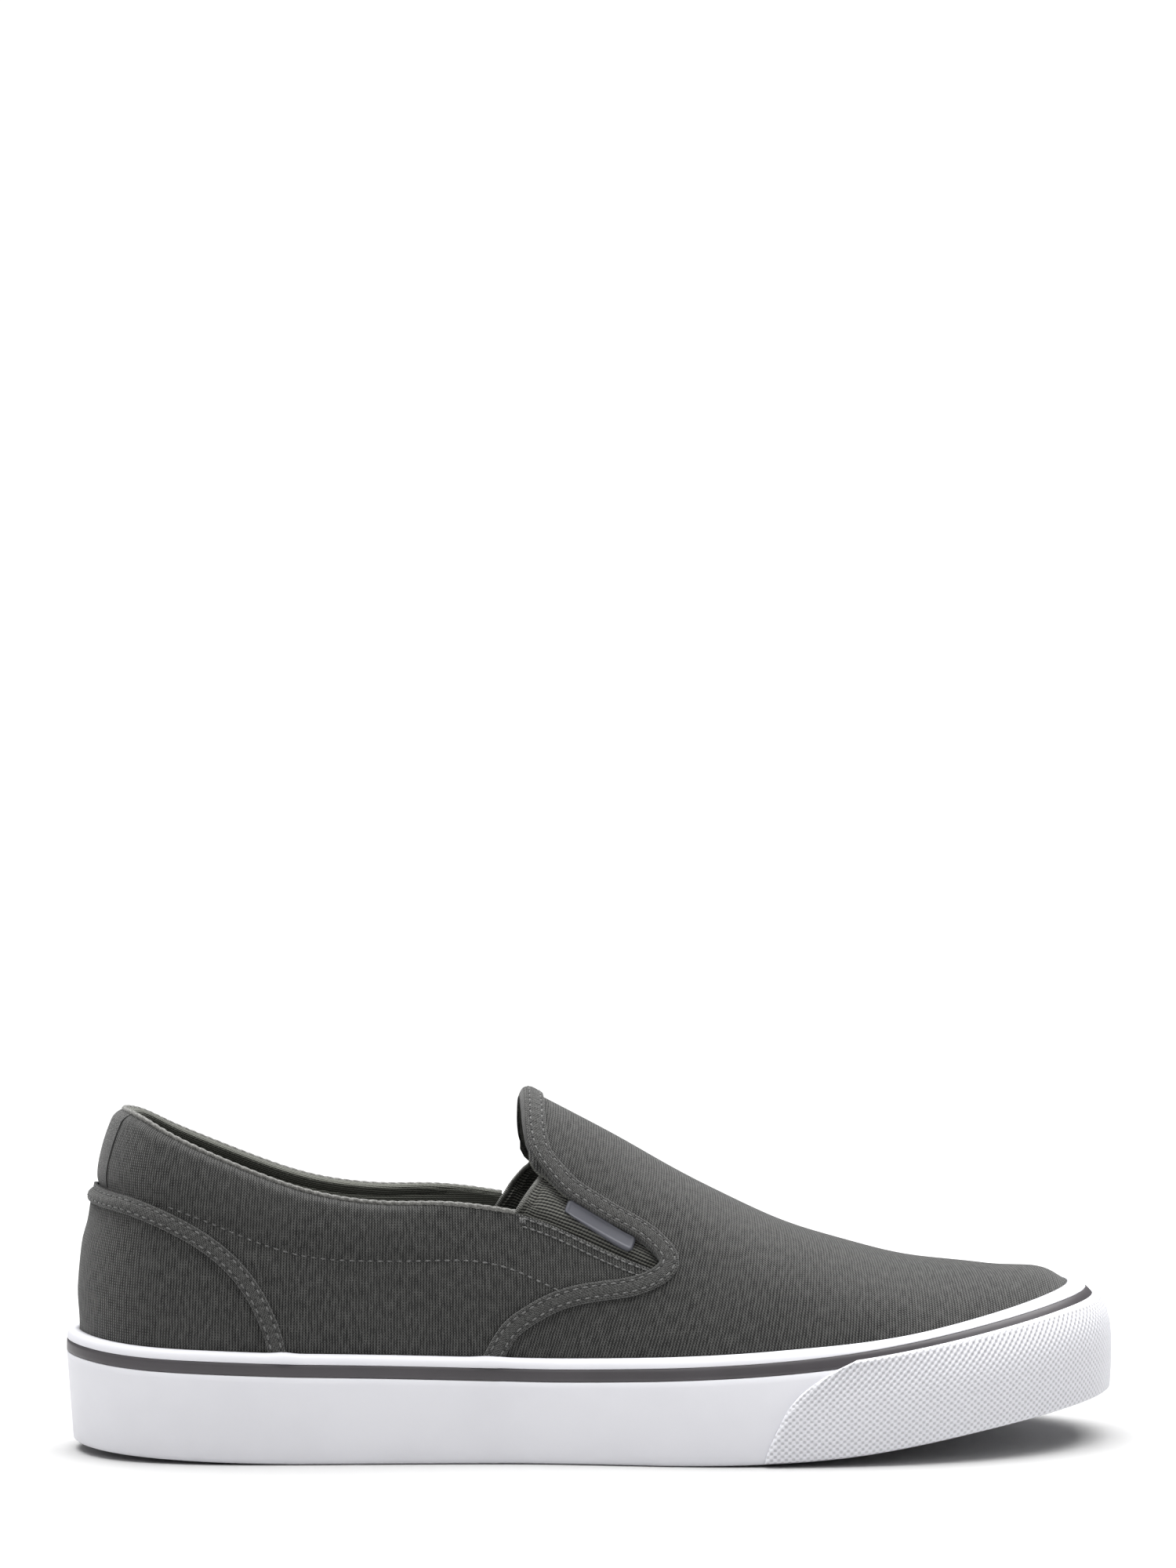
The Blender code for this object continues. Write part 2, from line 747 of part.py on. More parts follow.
def make_foxing():
    """White side wall: rounded foot, seat for the stripe, rolled top edge, wrapped close on the upper."""
    side, station = rim_ring()
    bottom, top, stripe_low, stripe_high, _ = sole_heights(side, station)
    zero = np.zeros(len(station))
    heel = 1 - smooth_step(along_of(column(side, station)[0][..., 0]) / 0.25)
    full = FOXING_GAP + FOXING_WALL
    foot = full - HEEL_TAPER * heel
    seat = full - STRIPE_WALL - GAP
    profiles = [
        (bottom, zero + FOXING_GAP),
        (bottom, foot - FOXING_EDGE_ROUND),
        (bottom + FOXING_EDGE_ROUND * 0.4, foot - FOXING_EDGE_ROUND * 0.3),
        (bottom + FOXING_EDGE_ROUND * 1.5, foot),
        (stripe_low - GAP, zero + full),
        (stripe_low - GAP, zero + seat),
        (stripe_high + GAP, zero + seat),
        (stripe_high + GAP, zero + full),
        (top - FOXING_TOP_ROLL * 0.6, zero + full - FOXING_TOP_ROLL * 0.25),
        (top - FOXING_TOP_ROLL * 0.1, zero + full - FOXING_TOP_ROLL),
        (top, zero + FOXING_GAP + 0.3 * FOXING_TOP_ROLL),
    ]
    inside = upper_ring_heights()
    profiles += [(height, zero + FOXING_GAP) for height in inside[::-1]]
    return ring_solid("foxing", profiles, WHITE_RUBBER, 0.45, side, station)


def upper_ring_heights():
    """Heights of the upper's rows inside the foxing, round the shoe, from the feather edge up."""
    rows = []
    for side in (LATERAL, MEDIAL):
        turns = upper_turns(side)[: SOLE_ROWS + 1]
        rows.append(wall_point(side, np.broadcast_to(STATIONS, turns.shape), turns)[..., 2])
    return np.concatenate([rows[0], rows[1][:, -2:0:-1]], 1)


def make_stripe():
    """Thin grey tape in its seat round the foxing."""
    side, station = rim_ring()
    _, _, low, high, _ = sole_heights(side, station)
    inner = FOXING_GAP + FOXING_WALL - STRIPE_WALL
    outer = inner + STRIPE_WALL
    zero = np.zeros(len(station))
    profiles = [(low, zero + inner), (low, zero + outer), (high, zero + outer), (high, zero + inner)]
    return ring_solid("foxing_stripe", profiles, DARK_RUBBER, 0.5, side, station)


def make_outsole():
    """Solid bottom inside the foxing, from the floor up to the footbed."""
    side, station = rim_ring()
    x = column(side, station)[0][..., 0]
    bottom, feather = sole_bottom(x), feather_height(x)
    rows = [
        side_point(side, station, bottom, np.zeros(len(x))),
        side_point(side, station, feather - GAP, np.zeros(len(x))),
    ]
    return plate("outsole", rows, WHITE_RUBBER, 0.6)


def make_insole():
    """Cushioned sock that fills the bottom of the upper."""
    side, station = rim_ring()
    x = column(side, station)[0][..., 0]
    floor = feather_height(x)
    inset = -(CANVAS_WALL + GAP) * np.ones(len(x))
    rows = [
        side_point(side, station, floor, inset),
        side_point(side, station, floor + INSOLE_WALL * 0.7, inset - INSOLE_EDGE_ROUND / 6),
        side_point(side, station, floor + INSOLE_WALL, inset - INSOLE_EDGE_ROUND),
    ]
    return plate("insole", rows, LINING, 0.95)


def plate(name, rows, colour, roughness):
    """A solid with rings for its side and a bottom and top skin laid across from side to side."""
    count = len(rows[0])
    half = count // 2
    points = np.array(rows).reshape(-1, 3)
    faces = grid_faces(len(rows), count, wrap=True)
    for ring, turned in ((0, True), (len(rows) - 1, False)):
        base = ring * count
        for c in range(half):
            ends = [base + c, base + c + 1, base + (count - c - 1) % count, base + (count - c) % count]
            ends = [v for k, v in enumerate(ends) if v != ends[k - 1]]
            faces.append(tuple(reversed(ends)) if turned else tuple(ends))
    return build_object(name, points, faces, colour, roughness)


def make_bumper():
    """Toe piece over the foxing. Its ends are cut back to the top in a curve."""
    side, station = rim_ring()
    foot_x = column(LATERAL, STATIONS)[0][..., 0]
    inner_rows, outer_rows = [], []
    seat = FOXING_GAP + FOXING_WALL + GAP
    for share, along in BUMPER_EDGE:
        start = np.interp(x_of(along), foot_x, STATIONS)
        moved = np.maximum(station, start)
        bottom, _, stripe_low, _, _ = sole_heights(side, moved)
        low, high = bottom + BUMPER_LIFT, stripe_low - GAP
        height = low + (high - low) * np.minimum(share, 1) + BUMPER_TUCK * (share > 1)
        tip = smooth_step((moved - start) / (1 - start))
        wall = BUMPER_WALL + BUMPER_SWELL * tip * math.sin(math.pi * (0.15 + 0.75 * min(share, 1)))
        inner = np.full(len(moved), seat + GAP * (share >= 1))
        inner_rows.append(side_point(side, moved, height, inner))
        outer_rows.append(side_point(side, moved, height, inner + wall))
    first = np.interp(x_of(BUMPER_EDGE[0][1]), foot_x, STATIONS)
    ahead = np.where(station >= STATIONS[STATIONS < first][-1])[0]
    points = np.array(inner_rows[::-1] + outer_rows + inner_rows[-1:])[:, ahead]
    return closed_band("toe_bumper", points, WHITE_RUBBER, 0.5)


def closed_band(name, rows, colour, roughness):
    """A solid from rows of points that go once round its section. The first and last rows are the same."""
    count = rows.shape[1]
    faces = grid_faces(len(rows), count)
    section = [r * count for r in range(len(rows) - 1)]
    faces.append(tuple(section))
    faces.append(tuple(r + count - 1 for r in reversed(section)))
    return build_object(name, rows.reshape(-1, 3), faces, colour, roughness)


def ribbon(name, side, station, turn, width, colour, stepped=1):
    """A strip laid on the upper along a path of stations and turns, thinner at its long edges."""
    path = skin(side, station, turn)
    ahead = unit(np.gradient(path, axis=0))
    normal = wall_normal(side, station, turn)
    across = unit(np.cross(normal, ahead))
    step = 1e-4
    sign = np.where(turn > 0.999, -1, 1)
    here = wall_point(side, station, turn)
    by_station = wall_point(side, station + step, turn) - wall_point(side, station - step, turn)
    by_station = by_station / (2 * step)
    by_turn = (wall_point(side, station, turn + sign * step) - here) / (sign * step)[:, None]
    basis = np.stack([by_station, by_turn, normal], -1)

    def row(share, out):
        moves = np.linalg.solve(basis, (across * share * width / 2)[..., None])[..., 0]
        return skin(side, station + moves[:, 0], turn + moves[:, 1], np.full(len(turn), out), stepped)

    shares = (-1, 0, 1)
    rows = [row(w, GAP + STRIP_WALL * (0.55 if abs(w) == 1 else 1)) for w in shares]
    rows += [row(w, GAP) for w in shares[::-1]]
    rows.append(rows[0])
    return closed_band(name, np.array(rows), colour, 0.9)


def resample(path, count):
    """A path of rows made even by length in its first three values."""
    step = np.linalg.norm(np.diff(path[:, :3], axis=0), axis=1)
    travel = np.concatenate([[0], np.cumsum(step)])
    even = np.linspace(0, travel[-1], count)
    return np.stack([np.interp(even, travel, path[:, k]) for k in range(path.shape[1])], -1)


def strip_path(side, table, height_of, count, from_heel=False):
    """Stations and turns along a table, evenly spaced. From the heel, it starts on the heel line."""
    rows = np.array(table)
    knots = np.stack([x_of(rows[:, 0]), height_of(x_of(rows[:, 0]), rows[:, 1])], -1)
    travel = np.concatenate([[0], np.cumsum(np.hypot(*np.diff(knots, axis=0).T))])
    fine = spline(travel, knots)(np.linspace(0, travel[-1], 160))
    if from_heel:
        fine = fine[fine[:, 0] > x_of(0.025)]
    station, turn = place(side, fine[:, 0], fine[:, 1])
    if from_heel:
        station = np.concatenate([[0], station])
        turn = np.concatenate([turn_at_height(side, np.zeros(1), knots[0, 1]), turn])
    points = wall_point(side, station, turn)
    even = resample(np.concatenate([points, station[:, None], turn[:, None]], -1), count)
    return even[:, 3:]


def make_vamp_strip():
    """Binding of the vamp: from the sole round the notch, over the throat and down the other side."""
    halves = []
    for side in (LATERAL, MEDIAL):
        rows = strip_path(side, VAMP_STRIP, level_height, 30)
        apex = station_of_x(x_of(THROAT_ALONG) + VAMP_STRIP_WIDTH / 2)
        crown = np.linspace(rows[-1], (apex, 1), 6)[1:]
        rows = np.concatenate([rows, crown])
        halves.append(np.concatenate([np.full((len(rows), 1), side), rows], -1))
    whole = np.concatenate([halves[0], halves[1][-2::-1]])
    side, station, turn = whole.T
    return ribbon("vamp_strip", side, station, turn, VAMP_STRIP_WIDTH, STRIP_CANVAS)


def make_counter_strip():
    """Strip over the edge of the heel counter, from the sole round the heel to the sole again."""
    halves = []
    for side in (LATERAL, MEDIAL):
        rows = strip_path(side, COUNTER_STRIP, counter_height, 18, from_heel=True)
        halves.append(np.concatenate([np.full((len(rows), 1), side), rows], -1))
    whole = np.concatenate([halves[0][::-1], halves[1][1:]])
    side, station, turn = whole.T
    return ribbon("counter_strip", side, station, turn, COUNTER_STRIP_WIDTH, STRIP_CANVAS, stepped=0)


def station_at_distance(side, height, distance):
    """Station of one side whose wall at a height lies a distance round from the heel line."""
    grid = np.linspace(0, 0.2, 80)
    points = wall_point(side, grid, turn_at_height(side, grid, height))
    travel = np.concatenate([[0], np.cumsum(np.linalg.norm(np.diff(points, axis=0), axis=1))])
    return np.interp(distance, travel, grid)


def make_heel_tab():
    """Folded strip up the back of the collar, from the counter strip to the collar's edge."""
    low = counter_line(LAST_HEEL) + COUNTER_STRIP_WIDTH / 2 + 2 * GAP
    heights = np.linspace(low, HEEL_HEIGHT - PAD_RIM_ROUND - STRIP_WALL, 7)
    spans = np.linspace(-1, 1, 7) * HEEL_TAB_WIDTH / 2
    layers = [[], []]
    for height in heights:
        side = np.where(spans < 0, LATERAL, MEDIAL)
        station = np.array([station_at_distance(w, height, abs(d)) for w, d in zip(side, spans)])
        turn = turn_at_height(side, station, height)
        edge = np.where(np.abs(spans) > 0.99 * HEEL_TAB_WIDTH / 2, 0.55, 1.0)
        layers[0].append(skin(side, station, turn, GAP + HEEL_TAB_WALL * edge))
        layers[1].append(skin(side, station, turn, GAP + 0 * turn))
    outer, inner = (np.array(layer).reshape(-1, 3) for layer in layers)
    points, faces = thicken(outer, inner, grid_faces(len(heights), len(spans)))
    return build_object("heel_tab", points, faces, STRIP_CANVAS, 0.9)


def gore_edge_x(height):
    rows = np.array(GORE_EDGE)
    x = x_of(rows[:, 0])
    return np.interp(height, level_height(x, rows[:, 1]), x)


def make_gore(name, side, along_count=10, across_count=5):
    """Elastic panel behind the notch. Its seam allowance lies inside the canvas, its middle swells out."""
    v = np.linspace(0, 1, across_count + 1)[:, None]
    u = np.linspace(0, 1, along_count + 1)[None, :]
    front = x_of(NOTCH_TIP) + GORE_SEAM

    def low(x):
        return notch_under_share(along_of(x)) * SIDE_HEIGHT - GORE_SEAM

    def high(x):
        return notch_over_line(x) + GORE_SEAM

    rear = x_of(THROAT_ALONG) + 0 * v
    for _ in range(30):
        rear = 0.5 * rear + 0.5 * gore_edge_x(low(rear) + (high(rear) - low(rear)) * v)
    x = rear + (front - rear) * u
    height = low(x) + (high(x) - low(x)) * v
    station, turn = place(side, x, height)
    inside = np.minimum(height - low(x), high(x) - height) - GORE_SEAM
    seam = CANVAS_WALL + 2 * GAP
    sink = seam + (GORE_SINK - seam) * smooth_step(inside / GORE_SEAM)
    outer = skin(side, station, turn, -sink).reshape(-1, 3)
    inner = skin(side, station, turn, -sink - GORE_WALL).reshape(-1, 3)
    points, faces = thicken(outer, inner, grid_faces(across_count + 1, along_count + 1))
    return build_object(name, points, faces, ELASTIC, 0.85)


def make_side_tab():
    """Small woven tab on the outer gore, under the front edge of the notch."""
    u = np.linspace(0, 1, 9)[None, :]
    v = np.linspace(0, 1, 3)[:, None]
    rear, front = (x_of(share) for share in SIDE_TAB_ENDS)
    x = rear + (front - rear) * u + 0 * v
    height = notch_over_line(x) - 2 * GAP - SIDE_TAB_HEIGHT * (1 - v)
    station, turn = place(LATERAL, x, height)
    out = GORE_SINK - GAP - SIDE_TAB_WALL
    outer = skin(LATERAL, station, turn, 0 * x - out).reshape(-1, 3)
    inner = skin(LATERAL, station, turn, 0 * x - out - SIDE_TAB_WALL).reshape(-1, 3)
    points, faces = thicken(outer, inner, grid_faces(3, 9))
    return build_object("side_tab", points, faces, TAB, 0.7)


def main():
    for old in list(bpy.data.objects):
        bpy.data.objects.remove(old, do_unlink=True)
    make_upper()
    make_foxing()
    make_stripe()
    make_outsole()
    make_insole()
    make_bumper()
    make_vamp_strip()
    make_counter_strip()
    make_heel_tab()
    make_gore("gore_lateral", LATERAL)
    make_gore("gore_medial", MEDIAL)
    make_side_tab()


main()
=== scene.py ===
import math

import bpy
import numpy as np
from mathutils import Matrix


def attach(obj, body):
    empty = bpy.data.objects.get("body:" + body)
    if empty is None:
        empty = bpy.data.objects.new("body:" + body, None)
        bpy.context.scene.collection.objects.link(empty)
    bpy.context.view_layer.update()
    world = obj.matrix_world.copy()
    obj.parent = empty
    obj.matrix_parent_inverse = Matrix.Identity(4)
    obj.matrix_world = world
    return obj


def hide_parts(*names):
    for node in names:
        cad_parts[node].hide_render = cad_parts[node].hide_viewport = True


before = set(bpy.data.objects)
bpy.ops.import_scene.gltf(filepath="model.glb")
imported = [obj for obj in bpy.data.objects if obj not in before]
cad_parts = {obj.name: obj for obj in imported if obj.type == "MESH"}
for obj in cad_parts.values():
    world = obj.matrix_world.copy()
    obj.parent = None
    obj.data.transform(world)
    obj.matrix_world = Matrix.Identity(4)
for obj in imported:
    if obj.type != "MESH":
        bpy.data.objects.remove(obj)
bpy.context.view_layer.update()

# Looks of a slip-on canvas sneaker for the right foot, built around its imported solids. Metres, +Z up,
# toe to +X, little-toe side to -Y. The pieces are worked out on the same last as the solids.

# Driving sizes of the sole, in metres
SOLE_LENGTH = 0.2955
BALL_WIDTH = 0.1060
HEEL_WIDTH = 0.0740
SOLE_HEIGHT = 0.0290
TOE_SPRING = 0.0132
HEEL_BEVEL = 0.0026
FOXING_WALL = 0.0029
FOXING_GAP = 0.0005
FOXING_EDGE_ROUND = 0.0014
HEEL_TAPER = 0.0018
STRIPE_WIDTH = 0.0034
STRIPE_WALL = 0.0006
STRIPE_BELOW_TOP = 0.0037
BUMPER_WALL = 0.0012
BUMPER_SWELL = 0.0010
BUMPER_TUCK = 0.0017
BUMPER_LIFT = 0.0008
FOOTBED_HEEL = 0.0170
FOOTBED_BALL = 0.0125

# Driving sizes of the upper, as heights over the floor
HEEL_HEIGHT = 0.0953
SIDE_HEIGHT = 0.0685
INSTEP_HEIGHT = 0.0980
TOE_BOX_HEIGHT = 0.0471
COUNTER_HEIGHT = 0.0700
CANVAS_WALL = 0.0018
PAD_WALL = 0.0062
PAD_SWELL = 0.0011
PAD_RIM_ROUND = 0.0016
COUNTER_STEP = 0.0024
VAMP_STRIP_WIDTH = 0.0054
COUNTER_STRIP_WIDTH = 0.0048
STRIP_WALL = 0.0009
HEEL_TAB_WIDTH = 0.0220
GORE_WALL = 0.0011
GORE_SINK = 0.0013
GORE_SEAM = 0.0045
NOTCH_TIP_TRIM = 0.0015
SIDE_TAB_HEIGHT = 0.0042
GAP = 0.0003

# Extra length for each radian that the outline turns, which brings columns closer on its curves
CURVE_LENGTH = 0.0120
LATERAL, MEDIAL = -1, 1
LAST_HEEL = -SOLE_LENGTH / 2 + FOXING_WALL + FOXING_GAP
LAST_TOE = SOLE_LENGTH / 2 - FOXING_WALL - FOXING_GAP - BUMPER_WALL - BUMPER_SWELL - GAP
LAST_LENGTH = LAST_TOE - LAST_HEEL
FOOT_HALF = BALL_WIDTH / 2 - FOXING_WALL - FOXING_GAP
HEEL_HALF = HEEL_WIDTH / 2 - FOXING_WALL - FOXING_GAP

# One row for each section of the last, heel to toe. along and top_along are shares of the last's
# length at the feather edge and on the ridge. The half widths are shares of the heel's or ball's
# half width, mixed by ball_share. square is the superellipse exponent of the section.
SECTION_COLUMNS = (
    "along_lateral",
    "along_medial",
    "lateral",
    "medial",
    "ball_share",
    "top_along",
    "square",
)
SECTIONS = (
    (0.000, 0.000, 0.00, 0.00, 0.0, 0.125, 2.3),
    (0.030, 0.030, 0.62, 0.58, 0.0, 0.134, 2.3),
    (0.100, 0.098, 0.93, 0.88, 0.0, 0.168, 2.25),
    (0.200, 0.200, 1.02, 0.95, 0.0, 0.235, 2.2),
    (0.330, 0.330, 0.94, 0.79, 0.3, 0.335, 2.1),
    (0.450, 0.450, 0.91, 0.78, 0.6, 0.447, 1.95),
    (0.580, 0.580, 0.95, 0.895, 1.0, 0.572, 2.0),
    (0.700, 0.700, 1.00, 1.000, 1.0, 0.680, 2.15),
    (0.810, 0.815, 0.93, 0.965, 1.0, 0.772, 2.3),
    (0.905, 0.912, 0.715, 0.82, 1.0, 0.845, 2.55),
    (0.968, 0.974, 0.405, 0.59, 1.0, 0.895, 3.0),
    (1.000, 1.000, -0.10, 0.10, 1.0, 0.918, 3.4),
)

# The ridge of the last: share of its length, and height as a share from toe box to instep
RIDGE = (
    (0.125, 1.44),
    (0.335, 1.27),
    (0.443, 1.00),
    (0.524, 0.760),
    (0.600, 0.518),
    (0.680, 0.299),
    (0.757, 0.150),
    (0.835, 0.055),
    (0.918, 0.000),
)
RIDGE_LEAN = 0.0030

# The sole's side: share of the last's length, bottom as a share of the toe spring in front and of
# the heel bevel behind, and side height as a share of the sole height
SOLE_LINE = (
    (-0.01, 1.00, 1.075),
    (0.045, 0.62, 1.045),
    (0.120, 0.25, 1.040),
    (0.210, 0.00, 1.030),
    (0.330, 0.00, 1.005),
    (0.450, 0.00, 0.980),
    (0.555, 0.00, 1.002),
    (0.645, 0.04, 1.030),
    (0.733, 0.17, 1.050),
    (0.838, 0.51, 1.050),
    (0.925, 0.80, 1.065),
    (0.987, 0.955, 1.090),
    (1.025, 1.00, 1.105),
)

# The rear edge of the toe bumper: share of its height, and share of the last's length
BUMPER_EDGE = (
    (0.00, 0.649),
    (0.06, 0.650),
    (0.38, 0.661),
    (0.64, 0.673),
    (0.85, 0.693),
    (1.00, 0.718),
    (1.10, 0.737),
)

# The collar: share of the last's length, and height as a share from side to heel height
COLLAR = (
    (-0.010, 1.000),
    (0.020, 1.000),
    (0.047, 0.946),
    (0.081, 0.775),
    (0.118, 0.590),
    (0.156, 0.418),
    (0.193, 0.268),
    (0.230, 0.150),
    (0.268, 0.078),
    (0.305, 0.050),
    (0.341, 0.045),
    (0.376, 0.014),
    (0.418, -0.055),
)

# Lower edge of the gore's notch, seen from the side: share of the last's length, and height as a
# share of the side height
NOTCH_UNDER = (
    (0.418, 0.980),
    (0.451, 0.933),
    (0.488, 0.863),
    (0.525, 0.796),
    (0.558, 0.744),
)
NOTCH_TIP = 0.558
THROAT_ALONG = 0.434

# The tables below place lines on the side by level: 0 at the foxing's top, 1 at the collar or the
# notch's lower edge, and 2 higher again by what the instep rises over the side. A row is the share
# of the last's length and the level.
NOTCH_OVER = (
    (0.4300, 1.740),
    (0.4353, 1.554),
    (0.4475, 1.439),
    (0.4628, 1.350),
    (0.4813, 1.314),
    (0.5085, 1.289),
    (0.5326, 1.264),
    (0.5508, 1.190),
    (0.5580, 1.070),
)

# Seam under the collar's padding
PAD_SEAM = (
    (-0.010, 0.647),
    (0.051, 0.660),
    (0.129, 0.652),
    (0.174, 0.619),
    (0.226, 0.601),
    (0.278, 0.617),
    (0.345, 0.630),
    (0.397, 0.630),
    (0.442, 0.551),
    (0.480, 0.480),
    (0.558, 0.420),
)

# The gore's free edge, from the quarter up to the vamp
GORE_EDGE = (
    (0.406, 0.850),
    (0.418, 1.009),
    (0.428, 1.180),
    (0.443, 1.416),
    (0.456, 1.633),
)

# The side tab on the gore: its rear and front ends as shares of the last's length
SIDE_TAB_ENDS = (0.468, 0.532)

# Centre line of the strip that binds the vamp, from the sole up round the notch to the throat
VAMP_STRIP = (
    (0.4010, 0.065),
    (0.4136, 0.199),
    (0.4304, 0.299),
    (0.4475, 0.390),
    (0.4663, 0.478),
    (0.5033, 0.627),
    (0.5466, 0.875),
    (0.5647, 1.100),
    (0.5553, 1.249),
    (0.5358, 1.330),
    (0.5117, 1.363),
    (0.4852, 1.400),
    (0.4681, 1.440),
    (0.4559, 1.529),
    (0.4461, 1.627),
    (0.4425, 1.770),
    (0.4420, 1.880),
)

# Centre line of the strip over the heel counter, from the heel down to the sole: share of the
# last's length, and share of the counter's height over the foxing
COUNTER_STRIP = (
    (-0.010, 0.922),
    (0.0106, 0.921),
    (0.0431, 0.915),
    (0.0811, 0.844),
    (0.1181, 0.721),
    (0.1478, 0.563),
    (0.1680, 0.388),
    (0.1809, 0.213),
    (0.1885, 0.060),
)


def spline(knots, values, closed=False):
    """A cubic spline through values at knots, as a function. A closed one repeats after its end."""
    knots = np.asarray(knots, float)
    values = np.asarray(values, float)
    count = len(knots)
    step = np.diff(knots)
    system = np.zeros((count, count))
    right = np.zeros((count,) + values.shape[1:])
    slope = (values[1:] - values[:-1]) / step.reshape((-1,) + (1,) * (values.ndim - 1))
    for k in range(1, count - 1):
        system[k, k - 1 : k + 2] = step[k - 1], 2 * (step[k - 1] + step[k]), step[k]
        right[k] = 6 * (slope[k] - slope[k - 1])
    if closed:
        system[0, 0], system[0, -1] = 1, -1
        system[-1, 0], system[-1, 1] = 2 * step[0], step[0]
        system[-1, -1], system[-1, -2] = 2 * step[-1], step[-1]
        right[-1] = 6 * (slope[0] - slope[-1])
    else:
        system[0, 0] = system[-1, -1] = 1
    bend = np.linalg.solve(system, right)

    def at(x):
        x = np.asarray(x, float)
        if closed:
            x = knots[0] + np.mod(x - knots[0], knots[-1] - knots[0])
        else:
            x = np.clip(x, knots[0], knots[-1])
        k = np.clip(np.searchsorted(knots, x, side="right") - 1, 0, count - 2)
        h = step[k]
        a = (knots[k + 1] - x) / h
        b = 1 - a
        if values.ndim > 1:
            a, b, h = a[..., None], b[..., None], h[..., None]
        curve = ((a**3 - a) * bend[k] + (b**3 - b) * bend[k + 1]) * h * h / 6
        return a * values[k] + b * values[k + 1] + curve

    return at


def table_line(table, column=1):
    rows = np.array(table)
    return spline(rows[:, 0], rows[:, column])


def smooth_step(x):
    x = np.clip(x, 0, 1)
    return x * x * (3 - 2 * x)


def unit(vectors):
    return vectors / np.maximum(np.linalg.norm(vectors, axis=-1, keepdims=True), 1e-12)


def along_of(x):
    return (np.asarray(x, float) - LAST_HEEL) / LAST_LENGTH


def x_of(along):
    return LAST_HEEL + LAST_LENGTH * np.asarray(along, float)


ridge_share = table_line(RIDGE)
bottom_share = table_line(SOLE_LINE, 1)
side_share = table_line(SOLE_LINE, 2)
collar_share = table_line(COLLAR)
notch_under_share = table_line(NOTCH_UNDER)
notch_over_level = table_line(NOTCH_OVER)
pad_seam_level = table_line(PAD_SEAM)
counter_share = table_line(COUNTER_STRIP)


def section_loop():
    """The sections as one closed spline round the shoe: 0 is the heel, 1 the toe, 2 the heel again."""
    rows = [dict(zip(SECTION_COLUMNS, row)) for row in SECTIONS]

    def side_rows(side):
        word = "lateral" if side == LATERAL else "medial"
        points = []
        for row in rows:
            half = (1 - row["ball_share"]) * HEEL_HALF + row["ball_share"] * FOOT_HALF
            across = side * half * row[word]
            points.append((x_of(row["along_" + word]), across, row["top_along"], row["square"]))
        return np.array(points)

    lateral, medial = side_rows(LATERAL), side_rows(MEDIAL)
    steps = sum(np.hypot(*np.diff(half[:, :2], axis=0).T) for half in (lateral, medial))
    stations = np.concatenate([[0], np.cumsum(steps)]) / steps.sum()
    knots = np.concatenate([stations, 2 - stations[-2::-1]])
    values = np.concatenate([lateral, medial[-2::-1]])
    return spline(knots, values, closed=True)


sections = section_loop()


def loop_station(side, station):
    """Where a station of one side lies on the closed loop."""
    return np.where(np.asarray(side) == LATERAL, station, 2 - np.asarray(station, float))


def sole_bottom(x):
    """Height of the sole's underside: flat under heel and ball, bevelled behind and sprung in front."""
    along = along_of(x)
    return np.maximum(bottom_share(along), 0) * np.where(along > 0.4, TOE_SPRING, HEEL_BEVEL)


def sole_top(x):
    return sole_bottom(x) + side_share(along_of(x)) * SOLE_HEIGHT


def feather_height(x):
    """Height of the footbed's edge, where the upper starts."""
    ball = smooth_step((along_of(x) - 0.2) / 0.45)
    return sole_bottom(x) + FOOTBED_HEEL + (FOOTBED_BALL - FOOTBED_HEEL) * ball


def ridge_height(top_along):
    return TOE_BOX_HEIGHT + ridge_share(top_along) * (INSTEP_HEIGHT - TOE_BOX_HEIGHT)


def ridge_point(top_along):
    lean = RIDGE_LEAN * smooth_step(top_along / 0.5)
    return np.stack([x_of(top_along), lean, ridge_height(top_along)], -1)


def ridge_slope(top_along):
    """Slope of the ridge over the forefoot. It fades to nothing at the instep."""
    step = 0.01
    front = np.minimum(top_along + step, RIDGE[-1][0])
    rise = ridge_height(front) - ridge_height(top_along - step)
    return rise / (front - top_along + step) / LAST_LENGTH * smooth_step((top_along - 0.55) / 0.25)


def column(side, station):
    """Feather point, ridge point, superellipse exponent and ridge slope of the section at a station."""
    values = sections(loop_station(side, station))
    x, across, top_along, square = np.moveaxis(values, -1, 0)
    foot = np.stack([x, across, feather_height(x)], -1)
    return foot, ridge_point(top_along), square, ridge_slope(top_along)


def wall_height(foot, top, slope, c, s):
    """Height on a section. Its top follows the ridge's slope, so that the toe has no crease."""
    crown = top[..., 2] + slope * (foot - top)[..., 0] * c
    return foot[..., 2] + (crown - foot[..., 2]) * s


def wall_point(side, station, turn):
    """A point of the last: turn is 0 at the feather edge and 1 on the ridge."""
    foot, top, square, slope = column(side, station)
    angle = np.clip(turn, 0, 1) * math.pi / 2
    c, s = np.cos(angle), np.sin(angle)
    radius = (c**square + s**square) ** (1 / square)
    c, s = c / radius, s / radius
    point = top + (foot - top) * c[..., None]
    point[..., 2] = wall_height(foot, top, slope, c, s)
    return point


def cut_at_height(side, station, height):
    """Shares of both axes of its section at which the wall of a station is at a height."""
    foot, top, square, slope = column(side, station)
    c = 0.8
    for _ in range(12):
        crown = top[..., 2] + slope * (foot - top)[..., 0] * c
        s = np.clip((height - foot[..., 2]) / (crown - foot[..., 2]), 0, 0.9999)
        c = (1 - s**square) ** (1 / square)
    return c, s


def turn_at_height(side, station, height):
    c, s = cut_at_height(side, station, height)
    return np.arctan2(s, c) / (math.pi / 2)


def facing(side):
    """Sign that turns a normal outward: stations run forward on both sides."""
    return np.where(np.asarray(side) == LATERAL, 1, -1)[..., None]


